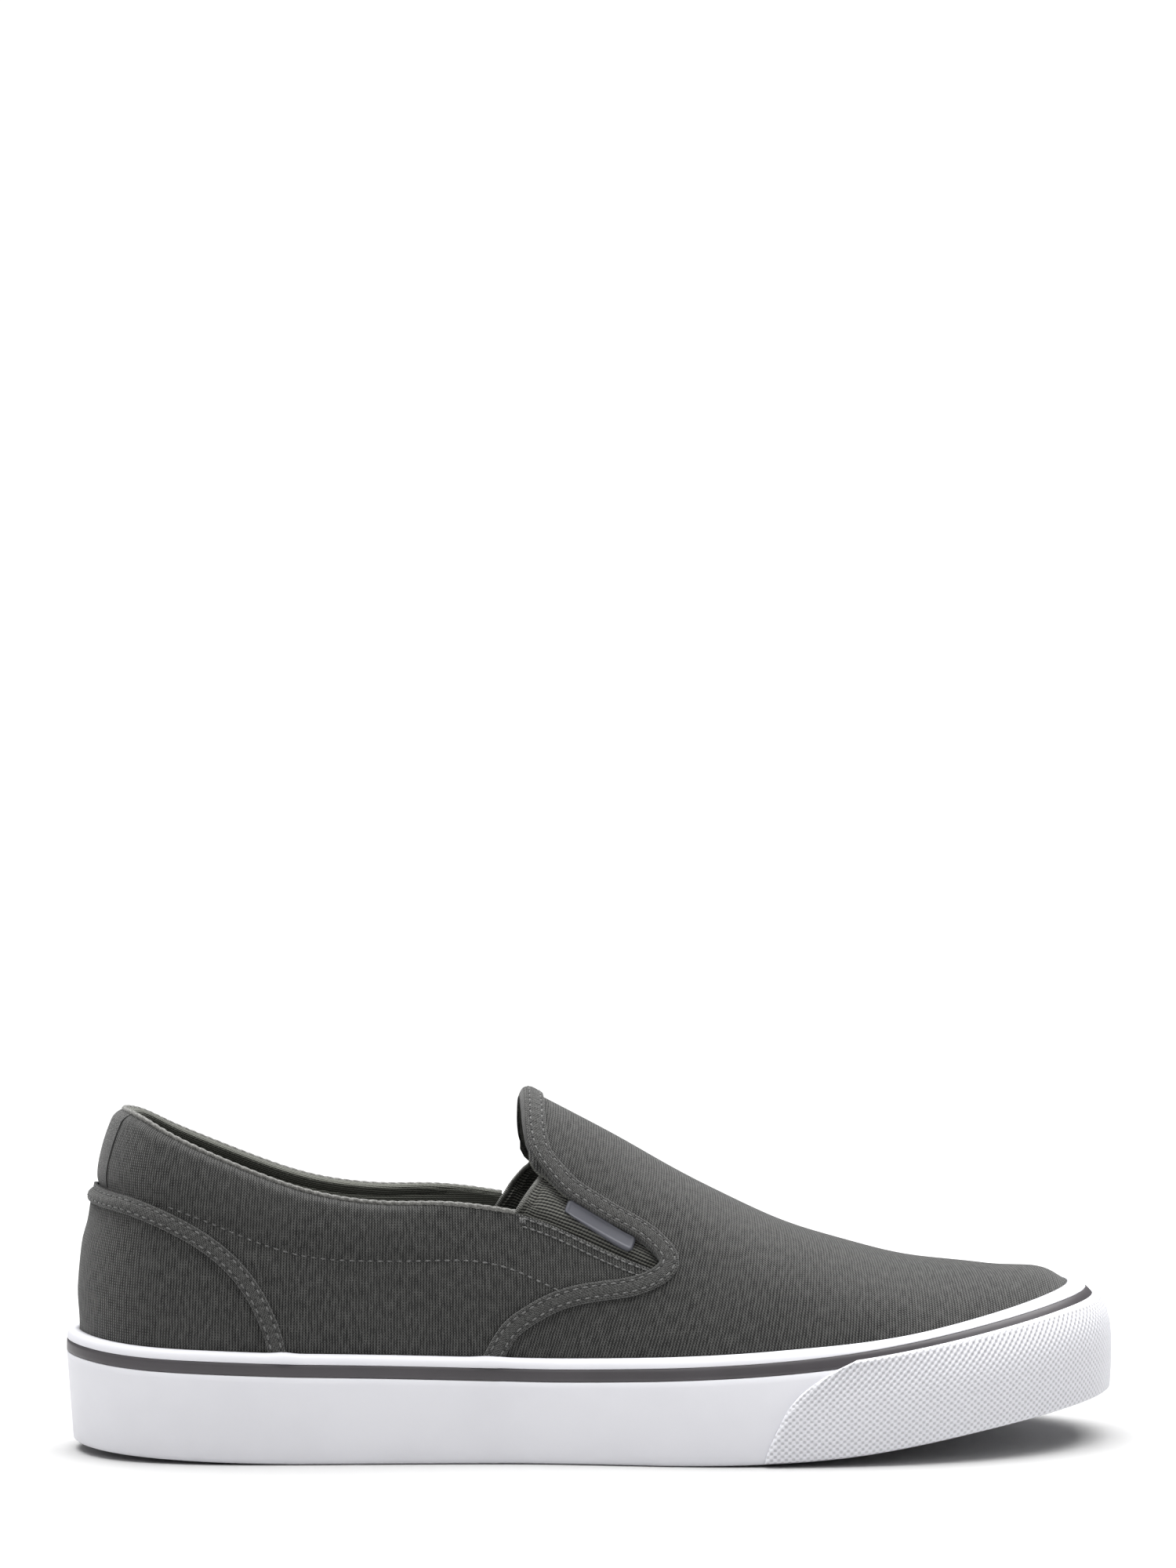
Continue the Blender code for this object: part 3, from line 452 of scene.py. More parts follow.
def wall_normal(side, station, turn):
    """Outward normal of the last, from small steps along both directions."""
    step = 1e-4
    low, high = np.clip(turn - step, 0, 1), np.clip(turn + step, 0, 1)
    up = wall_point(side, station, high) - wall_point(side, station, low)
    level = np.minimum(turn, 0.97)
    forward = wall_point(side, station + step, level) - wall_point(side, station - step, level)
    return unit(np.cross(forward, up) * facing(side))


def turn_on_line(side, station, line):
    """Turn at which the wall of a station meets a line given as height over x."""
    x = column(side, station)[0][..., 0]
    for _ in range(12):
        turn = turn_at_height(side, station, line(x))
        x = wall_point(side, station, turn)[..., 0]
    return turn


def place(side, x, height):
    """Station and turn of the point of one side that is seen at x and height from the side."""
    x = np.asarray(x, float)
    grid = np.linspace(0.02, 0.98, 600)
    foot_x = column(side, grid)[0][..., 0]
    station = np.interp(x, foot_x, grid)
    slope = np.gradient(foot_x, grid)
    for _ in range(25):
        turn = turn_at_height(side, station, height)
        miss = x - wall_point(side, station, turn)[..., 0]
        station = np.clip(station + 0.8 * miss / np.interp(station, grid, slope), 0.001, 0.999)
    return station, turn_at_height(side, station, height)


def collar_line(x):
    """Height of the collar, and past its end of the quarter's front edge under the gore."""
    along = along_of(x)
    collar = SIDE_HEIGHT + collar_share(along) * (HEEL_HEIGHT - SIDE_HEIGHT)
    return np.where(along < NOTCH_UNDER[0][0], collar, notch_under_share(along) * SIDE_HEIGHT)


def level_height(x, level):
    """Height of a level beside x: see the tables."""
    low, edge = sole_top(x), collar_line(x)
    over_edge = (INSTEP_HEIGHT - SIDE_HEIGHT) * np.maximum(level - 1, 0)
    return low + (edge - low) * np.minimum(level, 1) + over_edge


def notch_over_line(x):
    return level_height(x, notch_over_level(along_of(x)))


def seam_line(x):
    return level_height(x, pad_seam_level(along_of(x)))


def counter_line(x):
    """Height of the heel counter's top edge."""
    return counter_height(x, counter_share(along_of(x)))


def counter_height(x, share):
    return sole_top(x) + share * (COUNTER_HEIGHT - SOLE_HEIGHT)


def pad_amount(x):
    """How much padding the collar has: full at the heel and sides, none by the gore."""
    return 1 - smooth_step((along_of(x) - 0.27) / 0.13)


def below_collar(point):
    """Depth under the collar's edge as a share of the padding's depth."""
    edge = collar_line(point[..., 0])
    return (edge - point[..., 2]) / (edge - seam_line(point[..., 0]))


def soft_dents(point):
    """Low waves of the cloth, its fullness at heel and toe, and the rolled edge of the throat."""
    x, y, z = np.moveaxis(point, -1, 0)
    wave = np.sin(x * 95 + z * 60 + 1.3) * np.sin(z * 130 - x * 40 + 0.4)
    wave = wave + 0.6 * np.sin(x * 210 - y * 120)
    edge = np.minimum(x - x_of(THROAT_ALONG), z - notch_over_line(x))
    rolled = THROAT_ROLL * np.clip(1 - edge / THROAT_ROLL_REACH, 0, 1) ** 2 * smooth_step((z - 0.070) / 0.012)
    along, over = along_of(x), z - counter_line(x)
    heel = np.clip(1 - along / 0.10, 0, 1) ** 2
    over_counter = HEEL_FULLNESS * smooth_step(over / 0.005)
    on_counter = COUNTER_FULLNESS * smooth_step((-0.006 - over) / 0.008)
    plump = (over_counter + on_counter) * heel + TOE_FULLNESS * smooth_step((along - 0.90) / 0.07)
    cloth = WAVE_DEPTH * wave + plump
    cloth = cloth * smooth_step((z - sole_top(x)) / np.where(along > 0.5, 0.004, 0.012))
    return cloth - rolled * (x > x_of(THROAT_ALONG) - 0.003)


def relief(point, stepped=1):
    """Swell of the canvas over the padding, its pinch at the seam, and the step in over the counter."""
    x = point[..., 0]
    share = np.clip(below_collar(point), -0.2, 2)
    heel = 1 - smooth_step(along_of(x) / 0.13)
    swell = PAD_SWELL * (1 - 0.5 * heel) * np.sin(math.pi * np.clip(share, 0, 1)) ** 0.8
    rim = -PAD_RIM_ROUND * np.clip(1 - share / 0.16, 0, 1) ** 2
    pinch = -0.4 * PAD_SWELL * np.exp(-(((share - 1) / 0.12) ** 2))
    step = COUNTER_STEP * heel * smooth_step(2 * (point[..., 2] - counter_line(x)) / COUNTER_STRIP_WIDTH)
    return (swell + rim + pinch) * pad_amount(x) - step * stepped + soft_dents(point)


def skin(side, station, turn, out=0.0, stepped=1):
    """A point of the upper's outer face, moved out along its normal."""
    point = wall_point(side, station, turn)
    normal = wall_normal(side, station, turn)
    return point + normal * (relief(point, stepped) + out)[..., None]


def wall_thickness(point):
    """Wall of the upper: canvas and lining, and foam between them under the collar."""
    share = below_collar(point)
    padding = np.clip(1.25 - share, 0, 1) ** 0.7 * np.clip(0.42 + share / 0.30, 0, 1)
    return CANVAS_WALL + (PAD_WALL - CANVAS_WALL) * padding * pad_amount(point[..., 0])


def station_of_x(x):
    """The station whose ridge point is at x."""
    grid = np.linspace(0, 1, 1500)
    return float(np.interp(along_of(x), sections(grid)[..., 2], grid))


def even_stations(start, end, count):
    """Stations at even distances along the feather edge, closer together where it curves."""
    grid = np.linspace(start, end, 400)
    foot = column(LATERAL, grid)[0][..., :2]
    step = np.diff(foot, axis=0)
    heading = np.unwrap(np.arctan2(step[:, 1], step[:, 0]))
    length = np.hypot(*step.T) + CURVE_LENGTH * np.abs(np.gradient(heading))
    travel = np.concatenate([[0], np.cumsum(length)])
    return np.interp(np.linspace(0, travel[-1], count + 1), travel, grid)


STATION_THROAT = station_of_x(x_of(THROAT_ALONG))
STATION_TIP = station_of_x(x_of(NOTCH_TIP) - NOTCH_TIP_TRIM)


def outline_normal(side, station):
    """Level outward normal of the feather edge."""
    step = 1e-4
    ahead = column(side, station + step)[0][..., :2] - column(side, station - step)[0][..., :2]
    across = np.stack([ahead[..., 1], -ahead[..., 0]], -1)
    return unit(across * facing(side))


def side_point(side, station, height, out):
    """A point beside the last at a height, moved out level. Below the feather edge the wall is upright."""
    foot, top = column(side, station)[:2]
    c = cut_at_height(side, station, height)[0]
    flat = top[..., :2] + (foot - top)[..., :2] * c[..., None]
    flat = flat + outline_normal(side, station) * np.asarray(out)[..., None]
    return np.concatenate([flat, np.broadcast_to(height, flat.shape[:-1])[..., None]], -1)


def read_rows(at, walk, rows):
    """Rows of values that belong to a walk, read at other distances along it."""
    return np.stack([np.interp(at, walk, rows[:, k]) for k in range(rows.shape[1])], -1)


def resample(path, count):
    """A path of rows made even by length in its first three values."""
    step = np.linalg.norm(np.diff(path[:, :3], axis=0), axis=1)
    travel = np.concatenate([[0], np.cumsum(step)])
    return read_rows(np.linspace(0, travel[-1], count), travel, path)


def strip_path(side, table, height_of, count, from_heel=False):
    """Stations and turns along a table, evenly spaced. From the heel, it starts on the heel line."""
    rows = np.array(table)
    knots = np.stack([x_of(rows[:, 0]), height_of(x_of(rows[:, 0]), rows[:, 1])], -1)
    travel = np.concatenate([[0], np.cumsum(np.hypot(*np.diff(knots, axis=0).T))])
    fine = spline(travel, knots)(np.linspace(0, travel[-1], 160))
    if from_heel:
        fine = fine[fine[:, 0] > x_of(0.025)]
    station, turn = place(side, fine[:, 0], fine[:, 1])
    if from_heel:
        station = np.concatenate([[0], station])
        turn = np.concatenate([turn_at_height(side, np.zeros(1), knots[0, 1]), turn])
    points = wall_point(side, station, turn)
    even = resample(np.concatenate([points, station[:, None], turn[:, None]], -1), count)
    return even[:, 3:]


def station_at_distance(side, height, distance):
    """Station of one side whose wall at a height lies a distance round from the heel line."""
    grid = np.linspace(0, 0.2, 80)
    points = wall_point(side, grid, turn_at_height(side, grid, height))
    travel = np.concatenate([[0], np.cumsum(np.linalg.norm(np.diff(points, axis=0), axis=1))])
    return np.interp(distance, travel, grid)


def gore_edge_x(height):
    rows = np.array(GORE_EDGE)
    x = x_of(rows[:, 0])
    return np.interp(height, level_height(x, rows[:, 1]), x)


# Counts of the visible grids
HEEL_COLUMNS, GORE_COLUMNS, TOE_COLUMNS = 84, 30, 92
HIDDEN_ROWS, WALL_ROWS, PAD_ROWS, NOTCH_ROWS, VAMP_ROWS = 2, 18, 20, 8, 34
BUMPER_ROWS, BUMPER_COLUMNS = 88, 801
CORD_SIDES, GORE_EDGE_SIDES, SHADOW_LINE_SIDES = 16, 14, 10

# Sizes that only the looks have, in metres: the cloth and its fullness over the last
SHEET = 0.0008
LINING_SHEET = 0.0006
WAVE_DEPTH = 0.00016
HEEL_FULLNESS, COUNTER_FULLNESS, TOE_FULLNESS = 0.0019, 0.0010, 0.0014
THROAT_ROLL, THROAT_ROLL_REACH = 0.0012, 0.0022

# Pitches of the weaves and the tread
RIB_PITCH = 0.00080
CROSS_PITCH = RIB_PITCH * 0.92
RIB_WANDER, WANDER_SIZE = 0.0005, 0.004
CANVAS_DEPTH, TAPE_DEPTH, WEB_DEPTH = 0.00030, 0.00025, 0.00025
TAPE_PITCH = 0.00085
TREAD_PITCH, TREAD_DEPTH = 0.0056, 0.0008
RUBBER_GRAIN = 0.00003

# Cord, gore edge, seams and needle holes. Stitch rows lie at a share of a strip's half width.
CORD_RADIUS = 0.00072
CORD_TWIST = 0.0052
CORD_STEP = 0.00022
GORE_EDGE_RADIUS = 0.00072
GORE_EDGE_RIB = 0.00052
GORE_EDGE_STEP = 0.00009
ROLL_CROWN, ROLL_SKIRT = 0.0011, 0.0030
STITCH_ROW = 0.56
STITCH_PITCH = 0.0026
STITCH_LENGTH = 0.0018
SHORT_STITCH, QUARTER_PITCH, END_PITCH = 0.0016, 0.0021, 0.0019
QUARTER_ROWS = (0.0009, 0.0031)
END_ROWS = (-0.0003, 0.0003, 0.0009)
THREAD_RADIUS = 0.00024
HOLE_LENGTH, HOLE_RADIUS = 0.0010, 0.00033

# Tabs: rise over the cloth, the dark lines of painted shadow beside the heel tab, and the side tab's lean and
# trim
HEEL_PULL_RISE, HEEL_PULL_TAPER = 0.0022, 0.0034
SHADOW_LINE_RADIUS = 0.00034
SIDE_TAB_LEAN = 0.0008
SIDE_TAB_TRIM = 0.0004
SIDE_TAB_RISE, SIDE_TAB_DISH = 0.00085, 0.00022

# Rubber: the lozenges of the bumper, the stripe's depth under the foxing's top, and that top's roll
BUMP_LONG, BUMP_HIGH = 0.00195, 0.00178
BUMP_RISE = 0.00034
STRIPE_DEPTH = STRIPE_BELOW_TOP - 0.0010
TOE_BAND_DROP = 0.0011
ROLL_WIDTH = 0.0021
HALF_OUTLINE = 0.34

# Share of the step over the counter that its strip follows
COUNTER_LEAN = 0.7

# The camera, fitted to the photograph: metres, degrees, and a focal length in its pixels
CAMERA_DISTANCE, CAMERA_HEIGHT, CAMERA_AIM_X = 1.2, 0.186, -0.00204176
CAMERA_TURN, CAMERA_DOWN = 5.0, 0.0687028
FOCAL_PIXELS, PHOTO_HEIGHT = 5438.911755, 2000
FILM_HEIGHT, FILM_WIDTH = 36.0, 27.0

# The stage: floor, how bright the sky is as light and as the camera sees it, and the lights as
# name, place, size in metres and watts
FLOOR_RADIUS, FLOOR_CORNERS, FLOOR_GREY = 1.1, 96, 0.60
SKY_LIGHT, SKY_SEEN = 0.15, 1.1
LAMPS = (
    ("overhead", (0.05, 0.30, 1.7), (2.6, 2.2), 100),
    ("front_fill", (-0.3, -1.5, 1.3), (1.2, 1.0), 5),
    ("heel_fill", (-1.6, -0.2, 0.7), (0.9, 0.9), 1.5),
)

STATIONS = np.concatenate(
    [
        even_stations(0, STATION_THROAT, HEEL_COLUMNS)[:-1],
        even_stations(STATION_THROAT, STATION_TIP, GORE_COLUMNS)[:-1],
        even_stations(STATION_TIP, 1, TOE_COLUMNS),
    ]
)
THROAT_COLUMN = HEEL_COLUMNS
TIP_COLUMN = HEEL_COLUMNS + GORE_COLUMNS


def add_piece(name, points, quads, material, nodes=(), uv=None, uv_quads=None, caps=()):
    """A smooth mesh from points and quads, with n-gon caps, that rides on the shoe and may replace nodes."""
    mesh = bpy.data.meshes.new(name)
    points = np.ascontiguousarray(points, np.float32)
    quads = np.ascontiguousarray(quads, np.int32)
    corners = np.concatenate([quads.ravel(), *(np.asarray(cap, np.int32) for cap in caps)])
    used, corners = np.unique(corners, return_inverse=True)
    points = points[used]
    sizes = np.concatenate([np.full(len(quads), 4), [len(cap) for cap in caps]]).astype(np.int32)
    mesh.vertices.add(len(points))
    mesh.vertices.foreach_set("co", points.ravel())
    mesh.loops.add(len(corners))
    mesh.loops.foreach_set("vertex_index", corners.astype(np.int32))
    mesh.polygons.add(len(sizes))
    mesh.polygons.foreach_set("loop_start", np.concatenate([[0], np.cumsum(sizes)[:-1]]).astype(np.int32))
    if uv is not None:
        source = quads if uv_quads is None else uv_quads
        values = np.asarray(uv, np.float32)[np.ravel(source)]
        values = np.concatenate([values, np.zeros((len(corners) - len(values), 2), np.float32)])
        mesh.uv_layers.new(name="UVMap").data.foreach_set("uv", values.ravel())
    mesh.update(calc_edges=True)
    mesh.validate()
    mesh.shade_smooth()
    mesh.materials.append(material)
    piece = bpy.data.objects.new(name, mesh)
    bpy.context.scene.collection.objects.link(piece)
    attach(piece, "root")
    if nodes:
        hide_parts(*nodes)


def grid_quads(rows, columns, wrap_rows=False, wrap_columns=False):
    """Quads of a grid stored row by row, each turned the same way."""
    r = np.arange(rows if wrap_rows else rows - 1)[:, None]
    c = np.arange(columns if wrap_columns else columns - 1)[None, :]
    r2, c2 = (r + 1) % rows, (c + 1) % columns
    corners = (r * columns + c, r * columns + c2, r2 * columns + c2, r2 * columns + c)
    return np.stack(np.broadcast_arrays(*corners), -1).reshape(-1, 4)


def close_shell(outer, inner, quads):
    """Two matching sheets joined along every free edge of the quads."""
    count = len(outer)
    edges = np.concatenate([quads[:, [k, (k + 1) % 4]] for k in range(4)])
    key = edges[:, 0].astype(np.int64) * count + edges[:, 1]
    back = edges[:, 1].astype(np.int64) * count + edges[:, 0]
    rim = edges[~np.isin(key, back)]
    walls = np.stack([rim[:, 1], rim[:, 0], rim[:, 0] + count, rim[:, 1] + count], -1)
    return np.concatenate([outer, inner]), np.concatenate([quads, quads[:, ::-1] + count, walls])


def grid_normals(points):
    """Normals of a grid of points from central differences along its rows and columns."""
    return unit(np.cross(np.gradient(points, axis=1), np.gradient(points, axis=0)))


def travel_of(points, axis=0):
    """Distance walked along an axis of a grid of points, from zero."""
    step = np.linalg.norm(np.diff(points, axis=axis), axis=-1)
    start = np.zeros_like(np.take(step, [0], axis=axis))
    return np.concatenate([start, np.cumsum(step, axis=axis)], axis=axis)


def flat_places(points):
    """UV places of a grid of points: the distances walked along its rows and across them."""
    return np.stack([travel_of(points, 1), travel_of(points)], -1)


def add_shell(name, outer, inner, material, nodes, flat=None, flipped=False):
    """A sheet between two grids of points, closed along its rim."""
    quads = grid_quads(*outer.shape[:2])
    if flipped:
        quads = quads[:, ::-1]
    points, solid = close_shell(outer.reshape(-1, 3), inner.reshape(-1, 3), quads)
    if flat is not None:
        flat = np.concatenate([flat.reshape(-1, 2)] * 2)
    add_piece(name, points, solid, material, nodes, flat)


def add_strip(name, rows, material, nodes, flat, flipped=False):
    """A closed section swept along the columns of its rows, with a cap at each end."""
    count = rows.shape[1]
    first = np.arange(len(rows)) * count
    caps = [first, first[::-1] + count - 1]
    quads = grid_quads(len(rows), count, wrap_rows=True)
    if flipped:
        quads, caps = quads[:, ::-1], [cap[::-1] for cap in caps]
    add_piece(name, rows.reshape(-1, 3), quads, material, nodes, flat.reshape(-1, 2), caps=caps)


def add_tube(name, path, normal, radius, material):
    """A closed tube round a path. radius has a row for each point of the path, a column for each side."""
    sides = radius.shape[1]
    ahead = unit(np.gradient(path, axis=0))
    across = unit(np.cross(normal, ahead))
    high = np.cross(ahead, across)
    angle = np.linspace(0, 2 * math.pi, sides, endpoint=False)[None, :, None]
    ring = across[:, None] * np.cos(angle) + high[:, None] * np.sin(angle)
    rows = path[:, None] + ring * radius[..., None]
    caps = [np.arange(sides)[::-1], (len(rows) - 1) * sides + np.arange(sides)]
    quads = grid_quads(len(rows), sides, wrap_columns=True)
    add_piece(name, rows.reshape(-1, 3), quads, material, caps=caps)


class Value:
    """A number or colour socket inside a material, with the arithmetic that patterns need."""

    def __init__(self, paint, socket):
        self.paint, self.socket = paint, socket

    def math(self, operation, *others):
        values = dict(enumerate((self, *others)))
        return self.paint.node("ShaderNodeMath", {"operation": operation}, values)

    def __add__(self, other):
        return self.math("ADD", other)

    def __sub__(self, other):
        return self.math("SUBTRACT", other)

    def __mul__(self, other):
        return self.math("MULTIPLY", other)


class Paint:
    """A Principled material whose patterns are built from nodes."""

    def __init__(self, name, roughness, **constants):
        self.material = bpy.data.materials.new(name)
        self.material.use_nodes = True
        self.tree = self.material.node_tree
        self.shader = self.tree.nodes["Principled BSDF"]
        self.shader.inputs["Roughness"].default_value = roughness
        for key, value in constants.items():
            self.shader.inputs[key.replace("_", " ").title().replace("Ior", "IOR")].default_value = value

    def node(self, kind, settings=(), values=(), output=0):
        made = self.tree.nodes.new(kind)
        for key, value in dict(settings).items():
            setattr(made, key, value)
        for key, value in dict(values).items():
            if isinstance(value, Value):
                self.tree.links.new(value.socket, made.inputs[key])
            else:
                made.inputs[key].default_value = value
        return Value(self, made.outputs[output])

    def feed(self, name, value):
        self.tree.links.new(value.socket, self.shader.inputs[name])

    def coordinates(self, which="Object"):
        """Coordinate vector of a piece, and its three numbers."""
        vector = self.node("ShaderNodeTexCoord", output=which)
        return vector, *(self.node("ShaderNodeSeparateXYZ", {}, {0: vector}, axis) for axis in "XYZ")

    def noise(self, vector, size, detail=2.0, stretch=(1, 1, 1)):
        """Soft noise from 0 to 1 with features of about a size in metres, drawn out along the axes."""
        scale = self.node("ShaderNodeVectorMath", {"operation": "MULTIPLY"}, {0: vector, 1: stretch})
        return self.node("ShaderNodeTexNoise", {}, {"Vector": scale, "Scale": 1 / size, "Detail": detail})

    def wave(self, value, pitch, shift=0.0):
        """Cosine wave along a length, from -1 to 1."""
        return (value * (2 * math.pi / pitch) + shift).math("COSINE")

    def clamp_map(self, value, low, high):
        """Value mapped smoothly from low..high to 0..1."""
        settings = {"interpolation_type": "SMOOTHSTEP"}
        return self.node("ShaderNodeMapRange", settings, {0: value, 1: low, 2: high})

    def mix(self, factor, first, second):
        settings = {"data_type": "RGBA"}
        first, second = ((*v, 1) if isinstance(v, tuple) else v for v in (first, second))
        return self.node("ShaderNodeMix", settings, {0: factor, 6: first, 7: second}, 2)

    def bump(self, height, depth, strength):
        """Bump of a height pattern that runs from 0 to 1 over a depth in metres."""
        values = {"Strength": strength, "Distance": depth, "Height": height}
        self.feed("Normal", self.node("ShaderNodeBump", {}, values))


def canvas_paint(name, light, dark, space="UV"):
    """Ribbed canvas, in metres on the UV map or in the piece's own X and Y: fine ribs along the second
    direction, broken by the cross threads."""
    paint = Paint(name, 0.92, sheen_weight=0.25, sheen_roughness=0.45, specular_ior_level=0.25)
    vector, u, v, _ = paint.coordinates(space)
    wander = (paint.noise(vector, WANDER_SIZE) - 0.5) * RIB_WANDER
    slub = paint.noise(vector, 0.0011, 2, (1, 0.35, 1))
    ribs = paint.wave(u + wander, RIB_PITCH)
    cross = ribs * paint.wave(v, CROSS_PITCH)
    weave = ribs * 0.34 + cross * 0.34 + (slub - 0.5) * 0.9 + 0.5
    cloud = paint.noise(vector, 0.030, 3)
    colour = paint.mix(paint.clamp_map(weave, 0.22, 0.84), dark, light)
    shade = tuple(0.86 * c for c in light)
    paint.feed("Base Color", paint.mix((cloud - 0.35) * 0.5, colour, shade))
    paint.bump(weave, CANVAS_DEPTH, 0.9)
    return paint.material


def tape_paint(name, light, dark):
    """Woven tape cut on the bias: two sets of fine threads at 45 degrees to its run."""
    paint = Paint(name, 0.9, sheen_weight=0.3, sheen_roughness=0.4, specular_ior_level=0.25)
    vector, u, v, _ = paint.coordinates("UV")
    first, second = paint.wave(u + v, TAPE_PITCH), paint.wave(u - v, TAPE_PITCH)
    slub = paint.noise(vector, 0.0008, 2)
    weave = first * second * 0.36 + first * 0.16 + (slub - 0.5) * 0.8 + 0.5
    paint.feed("Base Color", paint.mix(paint.clamp_map(weave, 0.25, 0.85), dark, light))
    paint.bump(weave, TAPE_DEPTH, 0.9)
    return paint.material


def elastic_paint(name, light, dark, pitch, run_pitch):
    """Elastic web: cords along U at an even pitch, wrapped by cross threads."""
    paint = Paint(name, 0.85, sheen_weight=0.2, specular_ior_level=0.3)
    vector, u, v, _ = paint.coordinates("UV")
    cords = paint.wave(v, pitch)
    wraps = paint.wave(u, run_pitch)
    slub = paint.noise(vector, 0.0010, 2)
    weave = cords * 0.34 + wraps * 0.14 + (slub - 0.5) * 0.4 + 0.5
    paint.feed("Base Color", paint.mix(paint.clamp_map(weave, 0.28, 0.76), dark, light))
    paint.bump(weave, WEB_DEPTH, 0.9)
    return paint.material


def rubber_paint(name, light, dark, roughness):
    """Moulded rubber: a nearly even colour with faint clouds, and a fine matt grain."""
    paint = Paint(name, roughness, specular_ior_level=0.45)
    vector = paint.coordinates()[0]
    cloud = paint.noise(vector, 0.022, 3)
    fine = paint.noise(vector, 0.0012, 3)
    paint.feed("Base Color", paint.mix(paint.clamp_map(cloud, 0.3, 0.7), light, dark))
    paint.feed("Roughness", fine * 0.12 + (roughness - 0.06))
    paint.bump(fine, RUBBER_GRAIN, 0.6)
    return paint.material


def lozenge_shade_paint(name, light, dark):
    """Bumper rubber with painted shade: darker in the hollows between its raised lozenges, lighter on their
    crowns; its UV map is the lozenges' own grid in metres.
    """
    paint = Paint(name, 0.5, specular_ior_level=0.45)
    _, u, v, _ = paint.coordinates("UV")
    # Painted shade: the colour darkens towards the hollows between the lozenges
    raised = paint.wave(u, BUMP_LONG) * paint.wave(v, BUMP_HIGH)
    paint.feed("Base Color", paint.mix(paint.clamp_map(raised, -0.75, 0.25), dark, light))
    return paint.material


def tread_paint(name, light, dark):
    """Sole rubber with a tread of crossing grooves in the piece's own X and Y."""
    paint = Paint(name, 0.6, specular_ior_level=0.4)
    vector, x, y, _ = paint.coordinates()
    blocks = paint.wave(x + y * 0.6, TREAD_PITCH) * paint.wave(x - y * 0.6, TREAD_PITCH)
    raised = paint.clamp_map(blocks, -0.25, 0.35)
    paint.feed("Base Color", paint.mix(raised, dark, light))
    paint.bump(raised + paint.noise(vector, 0.0012, 3) * 0.1, TREAD_DEPTH, 0.8)
    return paint.material


def thread_paint(name, light, dark):
    """Sewing thread with a soft shine and light and dark plies."""
    paint = Paint(name, 0.6, sheen_weight=0.3, specular_ior_level=0.4)
    fine = paint.noise(paint.coordinates()[0], 0.0004, 2)
    paint.feed("Base Color", paint.mix(paint.clamp_map(fine, 0.35, 0.65), dark, light))
    return paint.material


GREY_CANVAS = canvas_paint("grey_canvas", (0.095, 0.095, 0.091), (0.008, 0.008, 0.008))
SOCK_LINER = canvas_paint("sock_liner", (0.110, 0.112, 0.098), (0.045, 0.046, 0.040), "Object")
GREY_TAPE = tape_paint("grey_tape", (0.128, 0.128, 0.124), (0.026, 0.026, 0.025))
GORE_WEB = elastic_paint("gore_web", (0.155, 0.155, 0.138), (0.010, 0.010, 0.009), 0.00096, 0.00090)
GORE_EDGING = thread_paint("gore_edging", (0.150, 0.150, 0.138), (0.080, 0.080, 0.072))
LINING_RIB = elastic_paint("lining_rib", (0.180, 0.184, 0.160), (0.070, 0.072, 0.060), 0.00056, 0.0009)
WHITE_RUBBER = rubber_paint("white_rubber", (0.80, 0.80, 0.84), (0.77, 0.77, 0.81), 0.5)
# The bumper's darker colour is painted shade in the hollows between its lozenges
BUMPER_RUBBER_SHADED = lozenge_shade_paint("bumper_rubber", (0.84, 0.84, 0.88), (0.61, 0.61, 0.64))
STRIPE_RUBBER = rubber_paint("stripe_rubber", (0.074, 0.068, 0.074), (0.064, 0.059, 0.064), 0.42)
SOLE_RUBBER = tread_paint("sole_rubber", (0.72, 0.72, 0.75), (0.52, 0.52, 0.55))
TAB_RUBBER = rubber_paint("tab_rubber", (0.115, 0.118, 0.138), (0.098, 0.100, 0.120), 0.45)
THREAD = thread_paint("thread", (0.170, 0.170, 0.167), (0.070, 0.070, 0.068))
CORD_THREAD = thread_paint("cord_thread", (0.190, 0.188, 0.176), (0.085, 0.084, 0.078))
# Near-black painted shade: the dark inside the needle holes, and the shadow lines beside the heel tab
SHADE_BLACK = thread_paint("painted_shade_black", (0.012, 0.012, 0.012), (0.008, 0.008, 0.008))

LAST_COLUMN = len(STATIONS) - 1
RING_SIDE = np.where(np.arange(2 * LAST_COLUMN) <= LAST_COLUMN, LATERAL, MEDIAL)
RING_STATION = np.concatenate([STATIONS, STATIONS[-2:0:-1]])
CELL_COLUMN = np.concatenate([np.arange(LAST_COLUMN), np.arange(LAST_COLUMN)[::-1]])
COLLAR_ROW = HIDDEN_ROWS + WALL_ROWS + PAD_ROWS


def upper_turns(side):
    """Turns of the upper's rows on one side: under the foxing, then wall, padding, notch and vamp."""
    foot_x = column(side, STATIONS)[0][..., 0]
    low = turn_at_height(side, STATIONS, sole_top(foot_x))
    lines = [turn_on_line(side, STATIONS, line) for line in (seam_line, collar_line, notch_over_line)]
    ahead = STATIONS > STATIONS[TIP_COLUMN]
    blend = smooth_step((STATIONS - STATIONS[TIP_COLUMN]) / (1 - STATIONS[TIP_COLUMN]))

    def toward_toe(turns, share):
        tip = (turns[TIP_COLUMN] - low[TIP_COLUMN]) / (1 - low[TIP_COLUMN])
        return np.where(ahead, low + (1 - low) * (tip + (share - tip) * blend), turns)

    seam, under, over = (toward_toe(line, share) for line, share in zip(lines, (0.20, 0.40, 0.54)))
    start = turn_at_height(side, STATIONS, sole_top(foot_x) - 0.004)
    bands = (
        (start, low, HIDDEN_ROWS),
        (low, seam, WALL_ROWS),
        (seam, under, PAD_ROWS),
        (under, over, NOTCH_ROWS),
        (over, 0 * low + 1, VAMP_ROWS),
    )
    rows = [start]
    for first, last, count in bands:
        rows += [first + (last - first) * k / count for k in range(1, count + 1)]
    return np.array(rows)


